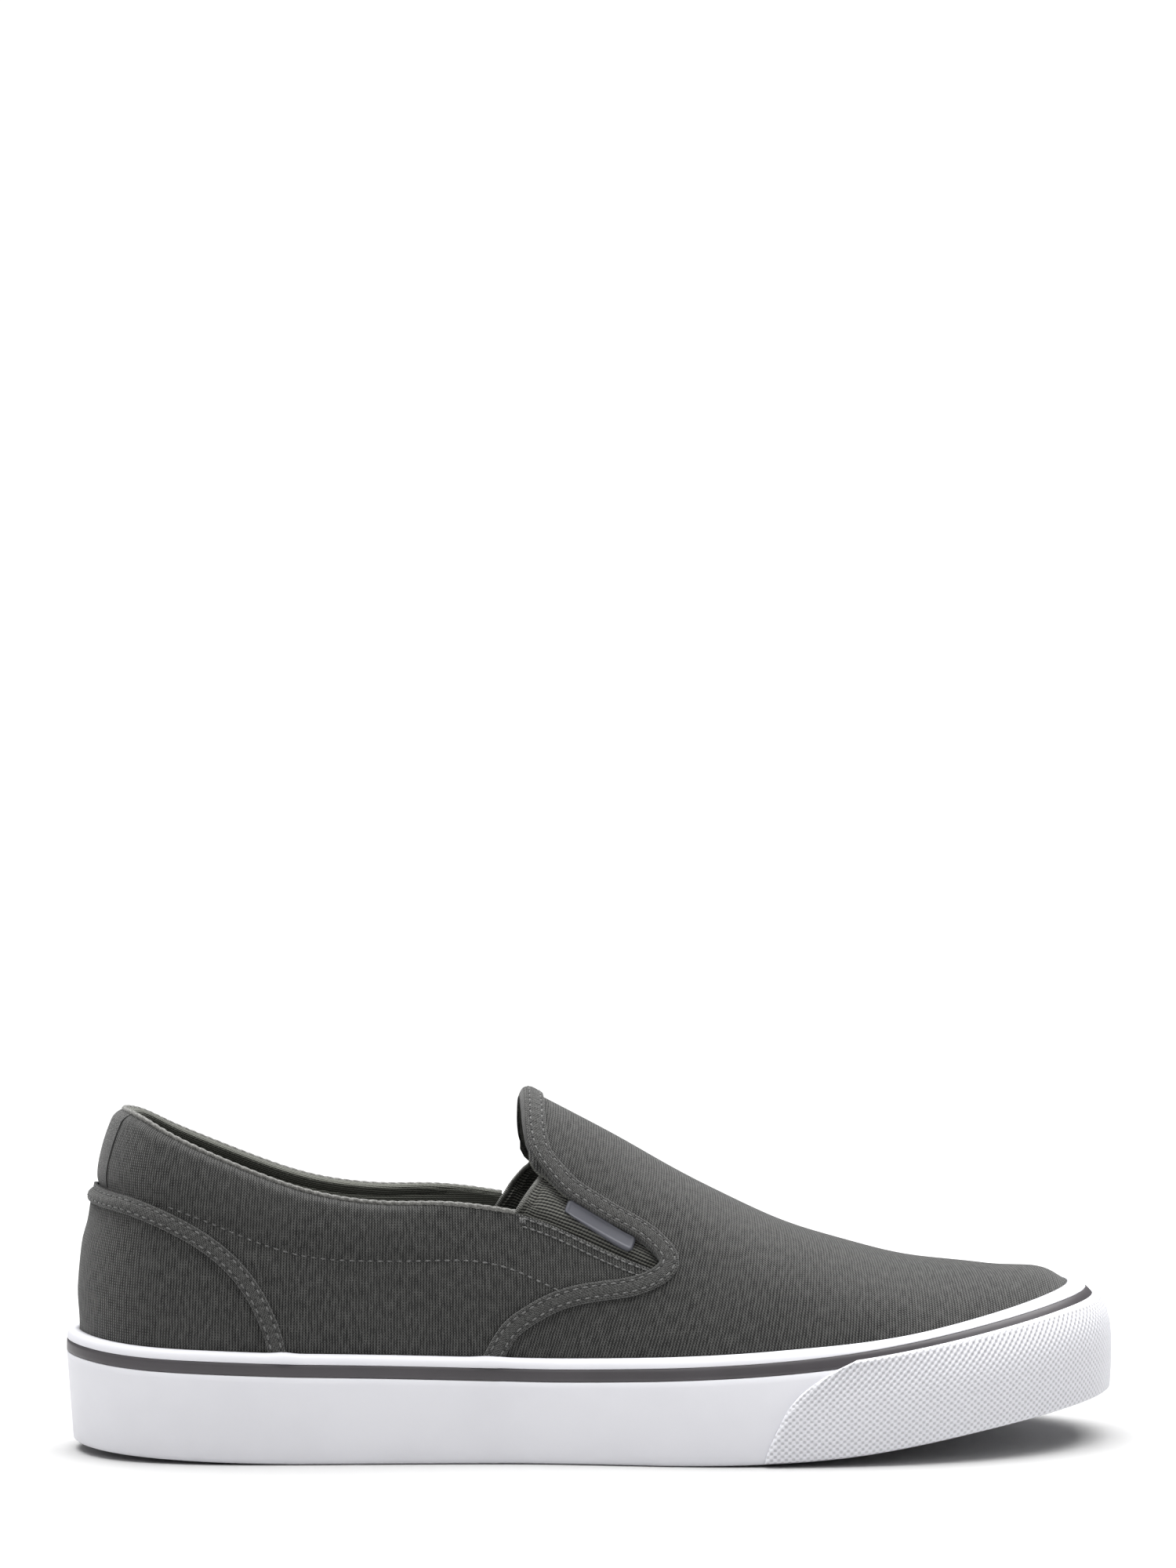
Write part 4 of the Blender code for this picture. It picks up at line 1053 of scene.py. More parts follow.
def both_sides(rows_of_side):
    """Rows of one side and the other as one ring of columns: heel, little-toe side, toe, big-toe side."""
    outer_side, inner_side = rows_of_side(LATERAL), rows_of_side(MEDIAL)
    return np.concatenate([outer_side, inner_side[..., -2:0:-1]], -1)


UPPER_TURNS = both_sides(upper_turns)


def join_ridge(points):
    """The top row's points of both sides, made the same."""
    points = points.copy()
    mirror = (2 * LAST_COLUMN - np.arange(2 * LAST_COLUMN)) % (2 * LAST_COLUMN)
    points[-1] = (points[-1] + points[-1][mirror]) / 2
    return points


def upper_quads():
    """Cells of the ring grid that hold cloth: the collar's mouth and both notches are left open. The
    first answer has the top row's two halves joined on the ridge, the second is the same unjoined."""
    rows = len(UPPER_TURNS)
    columns = 2 * LAST_COLUMN
    quads = grid_quads(rows, columns, wrap_columns=True)
    row = np.repeat(np.arange(rows - 1), columns)
    cell = np.tile(CELL_COLUMN, rows - 1)
    in_notch = (row >= COLLAR_ROW) & (row < COLLAR_ROW + NOTCH_ROWS) & (cell < TIP_COLUMN)
    behind_throat = (row >= COLLAR_ROW) & (cell < THROAT_COLUMN)
    kept = quads[~in_notch & ~behind_throat]
    top = (rows - 1) * columns
    across = kept - top
    joined = np.where(kept >= top, top + np.minimum(across, (columns - across) % columns), kept)
    return joined, kept


def rib_places(points):
    """Where each point lies on the flat cloth: U across the ribs and V along them, in metres.
    On the quarters U is the walk round the outline. On the vamp it is the ridge's own length, read
    along lines that lean back from the ridge by a share of its slope."""
    mid = skin(RING_SIDE, RING_STATION, UPPER_TURNS[HIDDEN_ROWS + WALL_ROWS // 2])
    walk = travel_of(np.concatenate([mid, mid[:1]]))[:-1]
    up = travel_of(points)
    quarter = np.broadcast_to(walk, up.shape)

    ridge_along = np.linspace(RIDGE[0][0], RIDGE[-1][0], 400)
    ridge_x, ridge_z = x_of(ridge_along), ridge_height(ridge_along)
    slope = np.gradient(ridge_z, ridge_x)
    lean = np.tan(0.6 * np.arctan(np.maximum(-slope, 0)))
    length = travel_of(np.stack([ridge_x, ridge_z], -1))
    x, z = points[..., 0], points[..., 2]
    at = x.copy()
    for _ in range(20):
        at = 0.5 * at + 0.5 * (x + np.interp(at, ridge_x, lean) * (np.interp(at, ridge_x, ridge_z) - z))
    vamp = np.interp(at, ridge_x, length) + np.maximum(at - ridge_x[-1], 0)

    rows = np.array(VAMP_STRIP)
    seam_x = x_of(rows[:, 0])
    seam_z = level_height(seam_x, rows[:, 1])
    front = smooth_step((x - np.interp(z, seam_z, seam_x)) / 0.002 + 0.5)
    return np.stack([quarter + (vamp - quarter) * front, up], -1)


def upper_base():
    """Points and outward normals of the last on the upper's ring grid."""
    side = np.broadcast_to(RING_SIDE, UPPER_TURNS.shape)
    station = np.broadcast_to(RING_STATION, UPPER_TURNS.shape)
    return wall_point(side, station, UPPER_TURNS), wall_normal(side, station, UPPER_TURNS)


def add_cloth(name, outer, inner, flat, material, nodes=()):
    """A sheet of the upper between two ring grids of points."""
    quads, plain = upper_quads()
    points, solid = close_shell(outer.reshape(-1, 3), inner.reshape(-1, 3), quads)
    plain_solid = np.concatenate([plain, plain[:, ::-1] + len(points) // 2, solid[2 * len(plain) :]])
    uv = np.concatenate([flat.reshape(-1, 2)] * 2)
    add_piece(name, points, solid, material, nodes, uv, plain_solid)


def make_canvas():
    """Outer cloth of the upper as one sheet with its own thickness, full over padding, heel and toe."""
    point, normal = upper_base()
    lift = relief(point)
    outer = join_ridge(point + normal * lift[..., None])
    inner = join_ridge(point + normal * (lift - SHEET)[..., None])
    add_cloth("canvas_upper", outer, inner, rib_places(outer), GREY_CANVAS, ["upper"])


def make_lining():
    """Ribbed lining inside the canvas, with the foam's thickness between them at the collar."""
    point, normal = upper_base()
    inward = relief(point) - wall_thickness(point)
    inner = join_ridge(point + normal * inward[..., None])
    outer = join_ridge(point + normal * (inward + LINING_SHEET)[..., None])
    add_cloth("lining", outer, inner, flat_places(point), LINING_RIB)


def collar_edge(count=150):
    """The collar's edge from gore to gore round the heel: point, outward normal, up and thickness."""
    end = x_of(NOTCH_UNDER[0][0])
    grid = np.linspace(0, 0.6, 500)
    stop = []
    for side in (LATERAL, MEDIAL):
        edge = wall_point(side, grid, turn_on_line(side, grid, collar_line))
        stop.append(np.interp(end, edge[:, 0], grid))
    side = np.concatenate([np.full(count, LATERAL), np.full(count - 1, MEDIAL)])
    station = np.concatenate([np.linspace(stop[0], 0, count), np.linspace(0, stop[1], count)[1:]])
    turn = turn_on_line(side, station, collar_line)
    point = wall_point(side, station, turn)
    normal = wall_normal(side, station, turn)
    up = unit(wall_point(side, station, turn + 1e-3) - wall_point(side, station, turn - 1e-3))
    return point + normal * relief(point)[:, None], normal, up, wall_thickness(point)


def make_collar_roll():
    """Top of the lining, which rolls over the foam from the cord to the inside."""
    point, normal, up, wall = collar_edge()
    angle = np.linspace(0, math.pi, 15)[:, None, None]
    middle = point - normal * (wall / 2)[:, None]
    half = normal * (wall / 2)[:, None]
    arc = middle + half * np.cos(angle) * 0.93 + up * np.sin(angle) ** 0.8 * ROLL_CROWN - up * 0.0002
    floor_rows = [middle - half * 0.97 - up * ROLL_SKIRT, middle + half * 0.70 - up * ROLL_SKIRT]
    rows = np.concatenate([arc, np.array(floor_rows)])
    add_strip("collar_roll", rows, LINING_RIB, (), flat_places(rows), flipped=True)


def make_collar_cord():
    """Twisted cord sewn along the collar's outer edge: two strands, so its section is a turning oval."""
    point, normal, up, _ = collar_edge(400)
    path = point - normal * 0.00025 + up * 0.00035
    walk = travel_of(path)
    even = np.linspace(0, walk[-1], int(walk[-1] / CORD_STEP))
    path, normal = read_rows(even, walk, path), read_rows(even, walk, normal)
    angle = np.linspace(0, 2 * math.pi, CORD_SIDES, endpoint=False)
    twist = angle[None, :] - 2 * math.pi * even[:, None] / CORD_TWIST
    radius = CORD_RADIUS * (0.80 + 0.28 * np.abs(np.cos(twist)))
    add_tube("collar_cord", path, normal, radius, CORD_THREAD)


class Band:
    """A strip's run over the upper: its path, and how stations and turns change across it."""

    def __init__(self, side, station, turn, stepped=1):
        self.side, self.station, self.turn, self.stepped = side, station, turn, stepped
        path = skin(side, station, turn, 0.0, stepped)
        self.normal = wall_normal(side, station, turn)
        across = unit(np.cross(self.normal, unit(np.gradient(path, axis=0))))
        step = 1e-4
        sign = np.where(turn > 0.999, -1, 1)
        by_station = wall_point(side, station + step, turn) - wall_point(side, station - step, turn)
        by_turn = wall_point(side, station, turn + sign * step) - wall_point(side, station, turn)
        basis = np.stack([by_station / (2 * step), by_turn / (sign * step)[:, None], self.normal], -1)
        self.moves = np.linalg.solve(basis, across[..., None])[..., 0]
        self.walk = travel_of(path)

    def row(self, across, out):
        """Points beside the path: a distance across it, along the cloth, and out over the cloth."""
        station = self.station + self.moves[:, 0] * across
        turn = self.turn + self.moves[:, 1] * across
        return skin(self.side, station, turn, out + 0 * turn, self.stepped)


def band_path(side, table, height_of, count, from_heel=False):
    """Side, station and turn along a strip's centre line, even by length."""
    rows = strip_path(side, table, height_of, count, from_heel)
    return np.concatenate([np.full((len(rows), 1), side), rows], -1)


def vamp_strip_band():
    """The vamp's binding: up from the sole round the notch, over the throat and down the other side."""
    halves = []
    for side in (LATERAL, MEDIAL):
        rows = band_path(side, ((0.3930, -0.045),) + VAMP_STRIP, level_height, 60)
        apex = station_of_x(x_of(THROAT_ALONG) + VAMP_STRIP_WIDTH / 2)
        crown = np.linspace(rows[-1], (side, apex, 1), 12)[1:]
        halves.append(np.concatenate([rows, crown]))
    whole = np.concatenate([halves[0], halves[1][-2::-1]])
    return smooth_band(whole, 520, 1)


def counter_strip_band():
    table = COUNTER_STRIP + ((0.1915, -0.045),)
    halves = [band_path(side, table, counter_height, 40, True) for side in (LATERAL, MEDIAL)]
    return smooth_band(np.concatenate([halves[0][::-1], halves[1][1:]]), 320, COUNTER_LEAN, over_ridge=False)


def smooth_band(whole, count, stepped, over_ridge=True):
    """A band through rows of side, station and turn, made even by length. A band over the ridge
    counts its turns on past 1 on the other side, and one round the heel counts stations below 0."""
    side, station, turn = whole.T
    far = side == MEDIAL
    if over_ridge:
        turn = np.where(far, 2 - turn, turn)
    else:
        station = np.where(far, -station, station)
    walk = travel_of(skin(side, whole[:, 1], whole[:, 2], 0.0, stepped))
    even = np.linspace(0, walk[-1], count)
    kernel = np.array([1, 4, 6, 4, 1]) / 16
    track = read_rows(even, walk, np.stack([station, turn], -1))
    for _ in range(3):
        padded = np.pad(track, ((2, 2), (0, 0)), mode="reflect", reflect_type="odd")
        track = np.stack([np.convolve(padded[:, k], kernel, "valid") for k in range(2)], -1)
    station, turn = track.T
    side = np.where((turn > 1) | (station < 0), MEDIAL, LATERAL)
    return Band(side, np.abs(station), np.where(turn > 1, 2 - turn, turn), stepped)


def strip_shape(share, wall):
    """Height of a sewn strip over the cloth: rounded edges, a low crown and two sunk stitch rows."""
    edge = np.clip(1 - np.abs(share) ** 10, 0, 1) ** 0.5
    rows = np.exp(-(((np.abs(share) - STITCH_ROW) / 0.13) ** 2))
    return wall * (0.25 + 0.75 * edge) * (1 + 0.10 * (1 - share**2)) - 0.00022 * rows


def sewn_strip(name, band, width, wall, nodes, lip=0.0):
    """A flat tape on its band. Where lip is more than zero, its inner edge turns down round the cloth."""
    shares = np.sin(np.linspace(-1, 1, 25) * math.pi / 2)
    half = width / 2 + 0 * band.turn
    ripple = 0.00006 * np.sin(band.walk * 2 * math.pi / STITCH_PITCH)
    rows = [band.row(half * s, GAP / 2 + strip_shape(s, wall) + ripple * (1 - s * s)) for s in shares]
    tuck = -np.asarray(lip) + 0 * band.turn
    rows += [band.row(half, tuck * 0.5), band.row(half * 0.97, tuck), band.row(half * 0.80, tuck)]
    rows += [band.row(half * s, -0.00025 * (abs(s) < 0.9)) for s in (0.7, 0.0, -0.9, -1.0)]
    across = np.concatenate([shares, np.ones(7)])[:, None] * half[None, :]
    flat = np.stack([np.broadcast_to(band.walk, across.shape), across], -1)
    add_strip(name, np.array(rows), GREY_TAPE, nodes, flat)


STITCHES, HOLES = [], []


def sew(points, normals, pitch=STITCH_PITCH, length=STITCH_LENGTH):
    """Adds a row of stitches along a line, and the needle holes between them, whose dark is painted shade:
    place, direction, normal.
    """
    walk = travel_of(points)
    middle = np.arange(pitch / 2, walk[-1] - pitch / 2, pitch)
    ends = [read_rows(middle + shift, walk, points) for shift in (length / 2, -length / 2)]
    ahead = unit(ends[0] - ends[1])
    for kept, place_on in ((STITCHES, middle), (HOLES, middle + pitch / 2)):
        up = unit(read_rows(place_on, walk, normals))
        kept.append(np.concatenate([read_rows(place_on, walk, points), ahead, up], -1))


def lozenges(name, rows, length, radius, sink, lift, material, slot):
    """Small spindle shapes, all of one form, at rows of place, direction and normal."""
    spot, ahead, normal = rows[:, :3], rows[:, 3:6], rows[:, 6:9]
    across = np.cross(normal, ahead)
    steps = np.array([-1, -0.8, -0.35, 0.35, 0.8, 1])
    fat = np.array([0.02, 0.62, 1, 1, 0.62, 0.02]) * radius
    dive = -sink * np.abs(steps) ** 4 + lift
    angle = np.linspace(0, 2 * math.pi, 6, endpoint=False)
    ring = across[:, None, None] * np.cos(angle)[:, None] + normal[:, None, None] * np.sin(angle)[:, None]
    spine = spot[:, None] + ahead[:, None] * (steps * length / 2)[:, None]
    spine = spine + normal[:, None] * dive[:, None]
    points = spine[:, :, None] + ring * fat[:, None, None]
    each = len(steps) * len(angle)
    quads = grid_quads(len(steps), len(angle), wrap_columns=True)
    ends = np.array([[0, 1, 2, 3], [3, 4, 5, 0], [33, 32, 31, 30], [30, 35, 34, 33]])
    quads = np.concatenate([quads, ends[:, ::-1]])
    shift = np.arange(len(rows))[:, None, None] * each
    add_piece(name, points.reshape(-1, 3), (quads[None] + shift).reshape(-1, 4), material)


def make_strips():
    """The two sewn strips with a stitch row near each edge."""
    band = vamp_strip_band()
    middle = band.walk / band.walk[-1]
    centre = np.abs(middle - 0.5) * 2
    width = VAMP_STRIP_WIDTH * (1 + 0.10 * smooth_step((0.25 - centre) / 0.2))
    lip = 0.0019 * smooth_step((0.66 - centre) / 0.05)
    sewn_strip("vamp_binding", band, width, STRIP_WALL, ["vamp_strip"], lip)
    counter = counter_strip_band()
    sewn_strip("counter_binding", counter, COUNTER_STRIP_WIDTH, STRIP_WALL, ["counter_strip"])
    for each, wide in ((band, width), (counter, COUNTER_STRIP_WIDTH)):
        for share in (-STITCH_ROW, STITCH_ROW):
            out = GAP / 2 + strip_shape(share, STRIP_WALL)
            sew(each.row(wide / 2 * share, out), each.normal)


def side_line(side, x, height, out=0.0):
    """Points and normals of the cloth along a line seen from the side."""
    station, turn = place(side, x, height)
    return skin(side, station, turn, out), wall_normal(side, station, turn)


def make_seam_stitches():
    """The row under the padding, the double row along the quarter's front edge, and its short end rows."""
    for side in (LATERAL, MEDIAL):
        x = x_of(np.linspace(0.085, 0.462, 240))
        sew(*side_line(side, x, seam_line(x), -0.0001))
        x = x_of(np.linspace(0.424, 0.553, 120))
        for drop in QUARTER_ROWS:
            sew(*side_line(side, x, collar_line(x) - drop), QUARTER_PITCH, SHORT_STITCH)
        for shift in END_ROWS:
            x = x_of(0.424) + shift + np.zeros(9)
            height = collar_line(x) - np.linspace(0.0006, 0.0036, 9)
            sew(*side_line(side, x, height), END_PITCH, SHORT_STITCH)


def gore_heights(x, allowance):
    low = notch_under_share(along_of(x)) * SIDE_HEIGHT - allowance
    return low, notch_over_line(x) + allowance


def make_gore(name, node, side):
    """Elastic web in the notch. Its seam allowances lie inside the cloth, and its free edge is bound."""
    v = np.linspace(0, 1, 61)[:, None]
    front = x_of(NOTCH_TIP) + GORE_SEAM
    rear = x_of(THROAT_ALONG) + 0 * v
    for _ in range(40):
        low, high = gore_heights(rear, GORE_SEAM)
        rear = 0.5 * rear + 0.5 * gore_edge_x(low + (high - low) * v)
    near = np.linspace(0, 0.0020, 17)
    far = np.linspace(0, 1, 70)[1:]
    run = front - rear
    x = np.concatenate([rear + near, rear + near[-1] + (run - near[-1]) * far], 1)
    low, high = gore_heights(x, GORE_SEAM)
    height = low + (high - low) * v
    station, turn = place(side, x, height)
    inside = np.minimum(height - low, high - height) - GORE_SEAM
    seam = CANVAS_WALL + 2 * GAP
    sink = seam + (GORE_SINK - seam) * smooth_step(inside / GORE_SEAM)
    distance = (x - rear) * 0.85
    groove = 0.00035 * np.exp(-(((distance - 0.00160) / 0.00022) ** 2))
    base = skin(side, station, turn)
    normal = wall_normal(side, station, turn)
    outer = base - normal * (sink + groove)[..., None]
    inner = base - normal * (sink + GORE_WALL + groove)[..., None]
    add_shell(name, outer, inner, GORE_WEB, [node], flat_places(outer), side == MEDIAL)
    middle = (outer + inner) / 2
    path = middle[:, 0] + unit(middle[:, 8] - middle[:, 0]) * 0.0005
    walk = travel_of(path)
    even = np.linspace(0, walk[-1], int(walk[-1] / GORE_EDGE_STEP))
    path, normal = read_rows(even, walk, path), read_rows(even, walk, normal[:, 0])
    ribs = 1 + 0.10 * np.cos(2 * math.pi * even / GORE_EDGE_RIB)
    radius = (GORE_EDGE_RADIUS * ribs)[:, None] * np.ones(GORE_EDGE_SIDES)
    add_tube(name + "_edge", path, normal, radius, GORE_EDGING)


def make_side_tab():
    """Bare moulded tab on the outer gore, under the binding, with rounded corners and a soft rim."""
    u = np.linspace(-1, 1, 61)[None, :]
    v = np.linspace(-1, 1, 25)[:, None]
    rear, front = (x_of(share) for share in SIDE_TAB_ENDS)
    middle, half = (rear + front) / 2, (front - rear) / 2
    corner = 0.13
    squeeze = 1 - corner * np.clip((np.abs(v) - 0.55) / 0.45, 0, 1) ** 2.5
    x = middle + half * u * squeeze + SIDE_TAB_LEAN * v
    high = notch_over_line(middle + half * u + 0 * v) - 2 * GAP
    height = high - (SIDE_TAB_HEIGHT - SIDE_TAB_TRIM) / 2 * (1 - v)
    height = height - 0.0003 * (1 - u * u) * (v < 0) * -v
    station, turn = place(LATERAL, x, height)
    edge = np.minimum((1 - np.abs(u)) * half, (1 - np.abs(v)) * SIDE_TAB_HEIGHT / 2)
    rise = SIDE_TAB_RISE * np.sqrt(np.clip(edge / 0.0004, 0, 1))
    rise = rise - SIDE_TAB_DISH * smooth_step((edge - 0.00055) / 0.0003)
    base, normal = skin(LATERAL, station, turn), wall_normal(LATERAL, station, turn)
    outer = base - normal * (GORE_SINK - 0.00005 - rise)[..., None]
    inner = base - normal * (GORE_SINK + 0.0001 + 0 * rise)[..., None]
    add_shell("blank_side_tab", outer, inner, TAB_RUBBER, ["side_tab"])


def make_heel_tab():
    """Folded tape up the back of the collar, from under the counter's strip to under the cord, with a
    dark line beside each edge: a thin near-black tube of painted shadow, with no groove cut."""
    low = counter_line(LAST_HEEL) + COUNTER_STRIP_WIDTH / 2 - 0.0010
    across = np.sin(np.linspace(-1, 1, 41) * math.pi / 2) * HEEL_TAB_WIDTH / 2
    side = np.where(across < 0, LATERAL, MEDIAL)
    heights = np.linspace(low, float(collar_line(LAST_HEEL)) - 0.0003, 60)
    rows = []
    for height in heights:
        station = np.array([station_at_distance(w, height, abs(d)) for w, d in zip(side, across)])
        turn = turn_at_height(side, station, height)
        rows.append(skin(side, station, turn))
    base = np.array(rows)
    share = np.abs(across) / (HEEL_TAB_WIDTH / 2)
    rise = HEEL_PULL_RISE * np.clip(1 - share**9, 0, 1) ** 0.5
    rise = rise - 0.00020 * np.exp(-(((share - 0.72) / 0.05) ** 2))
    facing_out = grid_normals(base)
    left = travel_of(base)[-1] - travel_of(base)
    taper = 0.25 + 0.75 * np.sqrt(1 - np.clip(1 - left / HEEL_PULL_TAPER, 0, 1) ** 2)
    outer = base + facing_out * (0.00012 + rise * taper)[..., None]
    inner = base - facing_out * 0.0002
    flat = np.stack(np.broadcast_arrays(travel_of(base), across[None, :]), -1)
    add_shell("heel_pull", outer, inner, GREY_TAPE, ["heel_tab"], flat)
    # Painted shadow: near-black tubes along both edges of the tab stand in for the shade where it meets the
    # cloth
    for name, edge in (("pull_shadow_line_outer", 0), ("pull_shadow_line_inner", -1)):
        path, normal = base[:-4, edge], facing_out[:-4, edge]
        radius = np.full((len(path), SHADOW_LINE_SIDES), SHADOW_LINE_RADIUS)
        add_tube(name, path, normal, radius, SHADE_BLACK)


def outline_ring(step):
    """Sides and stations once round the sole at nearly even steps of the outline."""
    stations = even_stations(0, 1, int(HALF_OUTLINE / step))
    side = np.where(np.arange(2 * len(stations) - 2) < len(stations), LATERAL, MEDIAL)
    return side, np.concatenate([stations, stations[-2:0:-1]])


def ring_heights(side, station):
    x = column(side, station)[0][..., 0]
    return x, sole_bottom(x), sole_top(x)


def strip_swell(x):
    """How far the strips that pass under the foxing lift its top edge, from 0 to 1."""
    along = along_of(x)
    return np.exp(-(((along - 0.196) / 0.010) ** 2)) + np.exp(-(((along - 0.392) / 0.014) ** 2))


def sweep_ring(name, profiles, material, nodes, side, station):
    """A closed section of (height, out) arrays swept once round the sole."""
    rows = np.array([side_point(side, station, height, out) for height, out in profiles])
    quads = grid_quads(len(rows), rows.shape[1], wrap_rows=True, wrap_columns=True)
    add_piece(name, rows.reshape(-1, 3), quads, material, nodes)


def make_foxing():
    """Rubber side wall: rounded foot, nearly flat wall, seat of the stripe and a rolled band over it."""
    side, station = outline_ring(0.0011)
    x, bottom, top = ring_heights(side, station)
    zero = np.zeros(len(x))
    heel = 1 - smooth_step(along_of(x) / 0.25)
    swell = strip_swell(x)
    full = FOXING_GAP + FOXING_WALL + zero
    foot = full - HEEL_TAPER * heel
    stripe_high = top - STRIPE_DEPTH
    stripe_low = stripe_high - STRIPE_WIDTH
    round_ = FOXING_EDGE_ROUND
    profiles = [(bottom, zero + FOXING_GAP)]
    for angle in np.linspace(0, math.pi / 2, 8):
        profiles.append((bottom + round_ * (1 - math.cos(angle)), foot - round_ * (1 - math.sin(angle))))
    for share in np.linspace(0, 1, 14)[1:]:
        start = bottom + round_
        profiles.append((start + (stripe_low - 0.0002 - start) * share, foot + (full - foot) * share))
    seat = full - STRIPE_WALL - 0.0001
    profiles += [(stripe_low - 0.00005, full - 0.00015), (stripe_low - 0.00002, seat), (stripe_high, seat)]
    profiles += [(stripe_high + 0.00005, full - 0.00012), (stripe_high + 0.00025, full + 0.0001 * swell)]
    lift = top + 0.00035 * swell - TOE_BAND_DROP * smooth_step((along_of(x) - 0.66) / 0.16)
    roll_high = lift - stripe_high - 0.0003
    for angle in np.linspace(0, math.pi / 2, 14):
        height = lift - roll_high * (1 - math.sin(angle) ** 0.9)
        profiles.append((height, full + 0.0003 * swell - ROLL_WIDTH * (1 - math.cos(angle) ** 0.8)))
    profiles += [(lift - 0.0001, zero + 0.00015), (lift - 0.0012, zero - 0.0001)]
    profiles += [(lift - 0.0040, zero + FOXING_GAP)]
    sweep_ring("rubber_foxing", profiles, WHITE_RUBBER, ["foxing"], side, station)


def make_stripe():
    """Dark tape pressed into its seat, with soft edges."""
    side, station = outline_ring(0.0013)
    x, _, top = ring_heights(side, station)
    high = top - STRIPE_DEPTH
    low = high - STRIPE_WIDTH
    face = FOXING_GAP + FOXING_WALL + 0 * x
    back = face - STRIPE_WALL
    soft = 0.00022
    profiles = [(low, back), (low, face - soft), (low + soft, face)]
    for share in (0.3, 0.5, 0.7):
        profiles.append((low + (high - low) * share, face + 0.00004 * math.sin(math.pi * share)))
    profiles += [(high - soft, face), (high, face - soft), (high, back)]
    sweep_ring("dark_stripe", profiles, STRIPE_RUBBER, ["foxing_stripe"], side, station)


def make_bumper():
    """Toe bumper with raised lozenges in staggered rows. Its rear ends are cut back in a curve."""
    share = np.linspace(0, BUMPER_EDGE[-1][0], BUMPER_ROWS)
    edge_along = table_line(BUMPER_EDGE)(share)
    fine = np.linspace(0, 1, 4000)
    foot = column(LATERAL, fine)[0][:, :2]
    walk = travel_of(foot)
    start = np.interp(x_of(edge_along), foot[:, 0], fine)
    first = np.interp(start, fine, walk)[:, None]
    total = walk[-1]
    run = total - first
    u = np.linspace(-1, 1, BUMPER_COLUMNS)
    order = np.abs(u)[None, :]
    distance = first + run * (1 - order)
    station = np.interp(distance, walk, fine)
    side = np.broadcast_to(np.where(u < 0, LATERAL, MEDIAL), station.shape)
    station = np.where(u[None, :] == 0, 1.0, station)
    x = column(side, station)[0][..., 0]
    high = sole_top(x) - STRIPE_DEPTH - STRIPE_WIDTH
    low = sole_bottom(x) + BUMPER_LIFT * 0.6
    part = np.minimum(share, 1)[:, None]
    height = low + (high - low) * part + BUMPER_TUCK * np.clip((share - 1) / 0.1, 0, 1)[:, None]
    seat = FOXING_GAP + FOXING_WALL + 0.0001
    tip = smooth_step((total - run * order - first) / run)
    wall = BUMPER_WALL + BUMPER_SWELL * tip * np.sin(math.pi * (0.15 + 0.75 * part))
    over = np.sign(u)[None, :] * (total - distance)
    waves = np.cos(2 * math.pi * over / BUMP_LONG) * np.cos(2 * math.pi * (height - low) / BUMP_HIGH)
    lozenge = 0.5 + 0.5 * waves
    rim = np.minimum(share, BUMPER_EDGE[-1][0] - share)[:, None] * 0.018
    rim = np.minimum(rim, (1 - order) * 0.10)
    rounded = np.sqrt(np.clip(rim / 0.0007, 0, 1))
    body = seat + (wall - 0.00008) * (0.35 + 0.65 * rounded)
    out = body + BUMP_RISE * (lozenge - 0.5) * 2 * smooth_step(rim / 0.0008)
    picks = [BUMPER_ROWS - 1, 2 * BUMPER_ROWS // 3, BUMPER_ROWS // 3, 0]
    outer = side_point(side, station, height, out)
    inner = np.array([side_point(side[k], station[k], height[k], seat + 0 * height[k]) for k in picks])
    flat = np.stack([over, height - low], -1)
    flat = np.concatenate([flat, flat[picks]])
    rows = np.concatenate([outer, inner])
    add_strip("textured_bumper", rows, BUMPER_RUBBER_SHADED, ["toe_bumper"], flat)


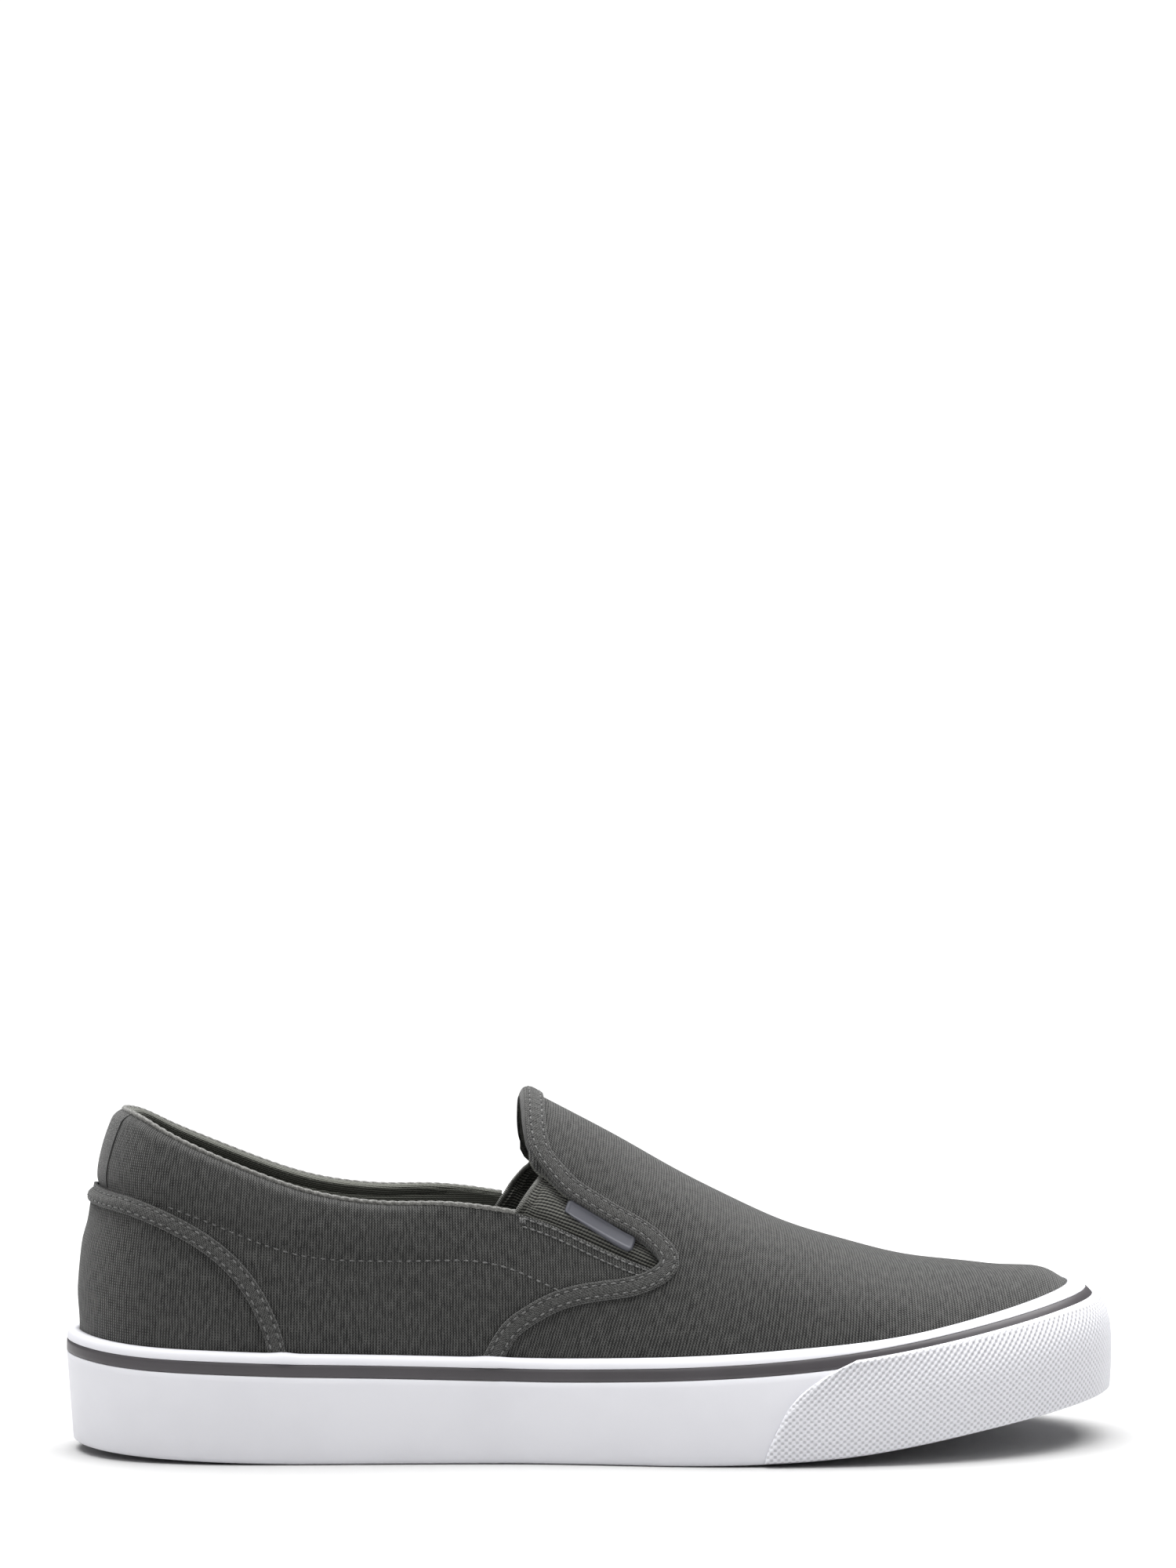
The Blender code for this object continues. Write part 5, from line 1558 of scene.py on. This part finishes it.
def make_stage():
    """White floor, a broad soft light overhead, a weak fill, and a sky that only the camera sees as white."""
    floor = bpy.data.meshes.new("floor")
    angle = np.linspace(0, 2 * math.pi, FLOOR_CORNERS + 1)[:-1]
    ring = [(FLOOR_RADIUS * math.cos(a), FLOOR_RADIUS * math.sin(a), -0.0001) for a in angle]
    floor.from_pydata(ring, [], [tuple(range(FLOOR_CORNERS))])
    paint = Paint("floor_paper", 0.9, specular_ior_level=0.1)
    paint.shader.inputs["Base Color"].default_value = (FLOOR_GREY, FLOOR_GREY, FLOOR_GREY, 1)
    floor.materials.append(paint.material)
    piece = bpy.data.objects.new("floor", floor)
    bpy.context.scene.collection.objects.link(piece)
    for name, spot, size, power in LAMPS:
        light = bpy.data.lights.new(name, "AREA")
        light.shape, light.size, light.size_y, light.energy = "RECTANGLE", *size, power
        lamp = bpy.data.objects.new(name, light)
        lamp.location = spot
        aim = np.array([0, 0, 0.03]) - np.array(spot)
        flat = math.hypot(aim[0], aim[1])
        lamp.rotation_euler = (math.atan2(flat, -aim[2]), 0, math.atan2(aim[1], aim[0]) - math.pi / 2)
        bpy.context.scene.collection.objects.link(lamp)
    world = bpy.data.worlds.new("studio")
    world.use_nodes = True
    tree = world.node_tree
    back = tree.nodes["Background"]
    back.inputs["Color"].default_value = (1, 1, 1, 1)
    path = tree.nodes.new("ShaderNodeLightPath")
    reach = tree.nodes.new("ShaderNodeMapRange")
    reach.inputs["To Min"].default_value, reach.inputs["To Max"].default_value = SKY_LIGHT, SKY_SEEN
    tree.links.new(path.outputs["Is Camera Ray"], reach.inputs["Value"])
    tree.links.new(reach.outputs["Result"], back.inputs["Strength"])
    bpy.context.scene.world = world
    bpy.context.scene.view_settings.view_transform = "Standard"


def make_camera():
    """The camera stands where the photograph's was fitted to stand."""
    lens = bpy.data.cameras.new("camera")
    lens.sensor_fit, lens.sensor_height, lens.sensor_width = "VERTICAL", FILM_HEIGHT, FILM_WIDTH
    lens.lens = FILM_HEIGHT * FOCAL_PIXELS / PHOTO_HEIGHT
    lens.clip_start, lens.clip_end = 0.01, 50
    camera = bpy.data.objects.new("camera", lens)
    turned, down = math.radians(CAMERA_TURN), math.radians(CAMERA_DOWN)
    x, y = CAMERA_AIM_X - CAMERA_DISTANCE * math.sin(turned), -CAMERA_DISTANCE * math.cos(turned)
    camera.location = (x, y, CAMERA_HEIGHT)
    camera.rotation_euler = (math.pi / 2 - down, 0, -turned)
    bpy.context.scene.collection.objects.link(camera)
    bpy.context.scene.camera = camera


def dress_nodes():
    """Materials of the solids that stay."""
    for node, material in (("outsole", SOLE_RUBBER), ("insole", SOCK_LINER)):
        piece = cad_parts[node]
        piece.data.materials.clear()
        piece.data.materials.append(material)


def main():
    make_camera()
    make_canvas()
    make_lining()
    make_collar_roll()
    make_collar_cord()
    make_strips()
    make_seam_stitches()
    make_gore("gore_outer", "gore_lateral", LATERAL)
    make_gore("gore_inner", "gore_medial", MEDIAL)
    make_side_tab()
    make_heel_tab()
    make_foxing()
    make_stripe()
    make_bumper()
    threads = (STITCH_LENGTH, THREAD_RADIUS, 0.0003, 0.00012, THREAD)
    lozenges("stitching", np.concatenate(STITCHES), *threads, "canvas_strip")
    # Needle holes: real places between the stitches, drawn as near-black spindles of painted shade
    holes = (HOLE_LENGTH, HOLE_RADIUS, 0.0002, -0.00007, SHADE_BLACK)
    lozenges("needle_holes", np.concatenate(HOLES), *holes, "canvas_strip")
    dress_nodes()
    make_stage()


main()
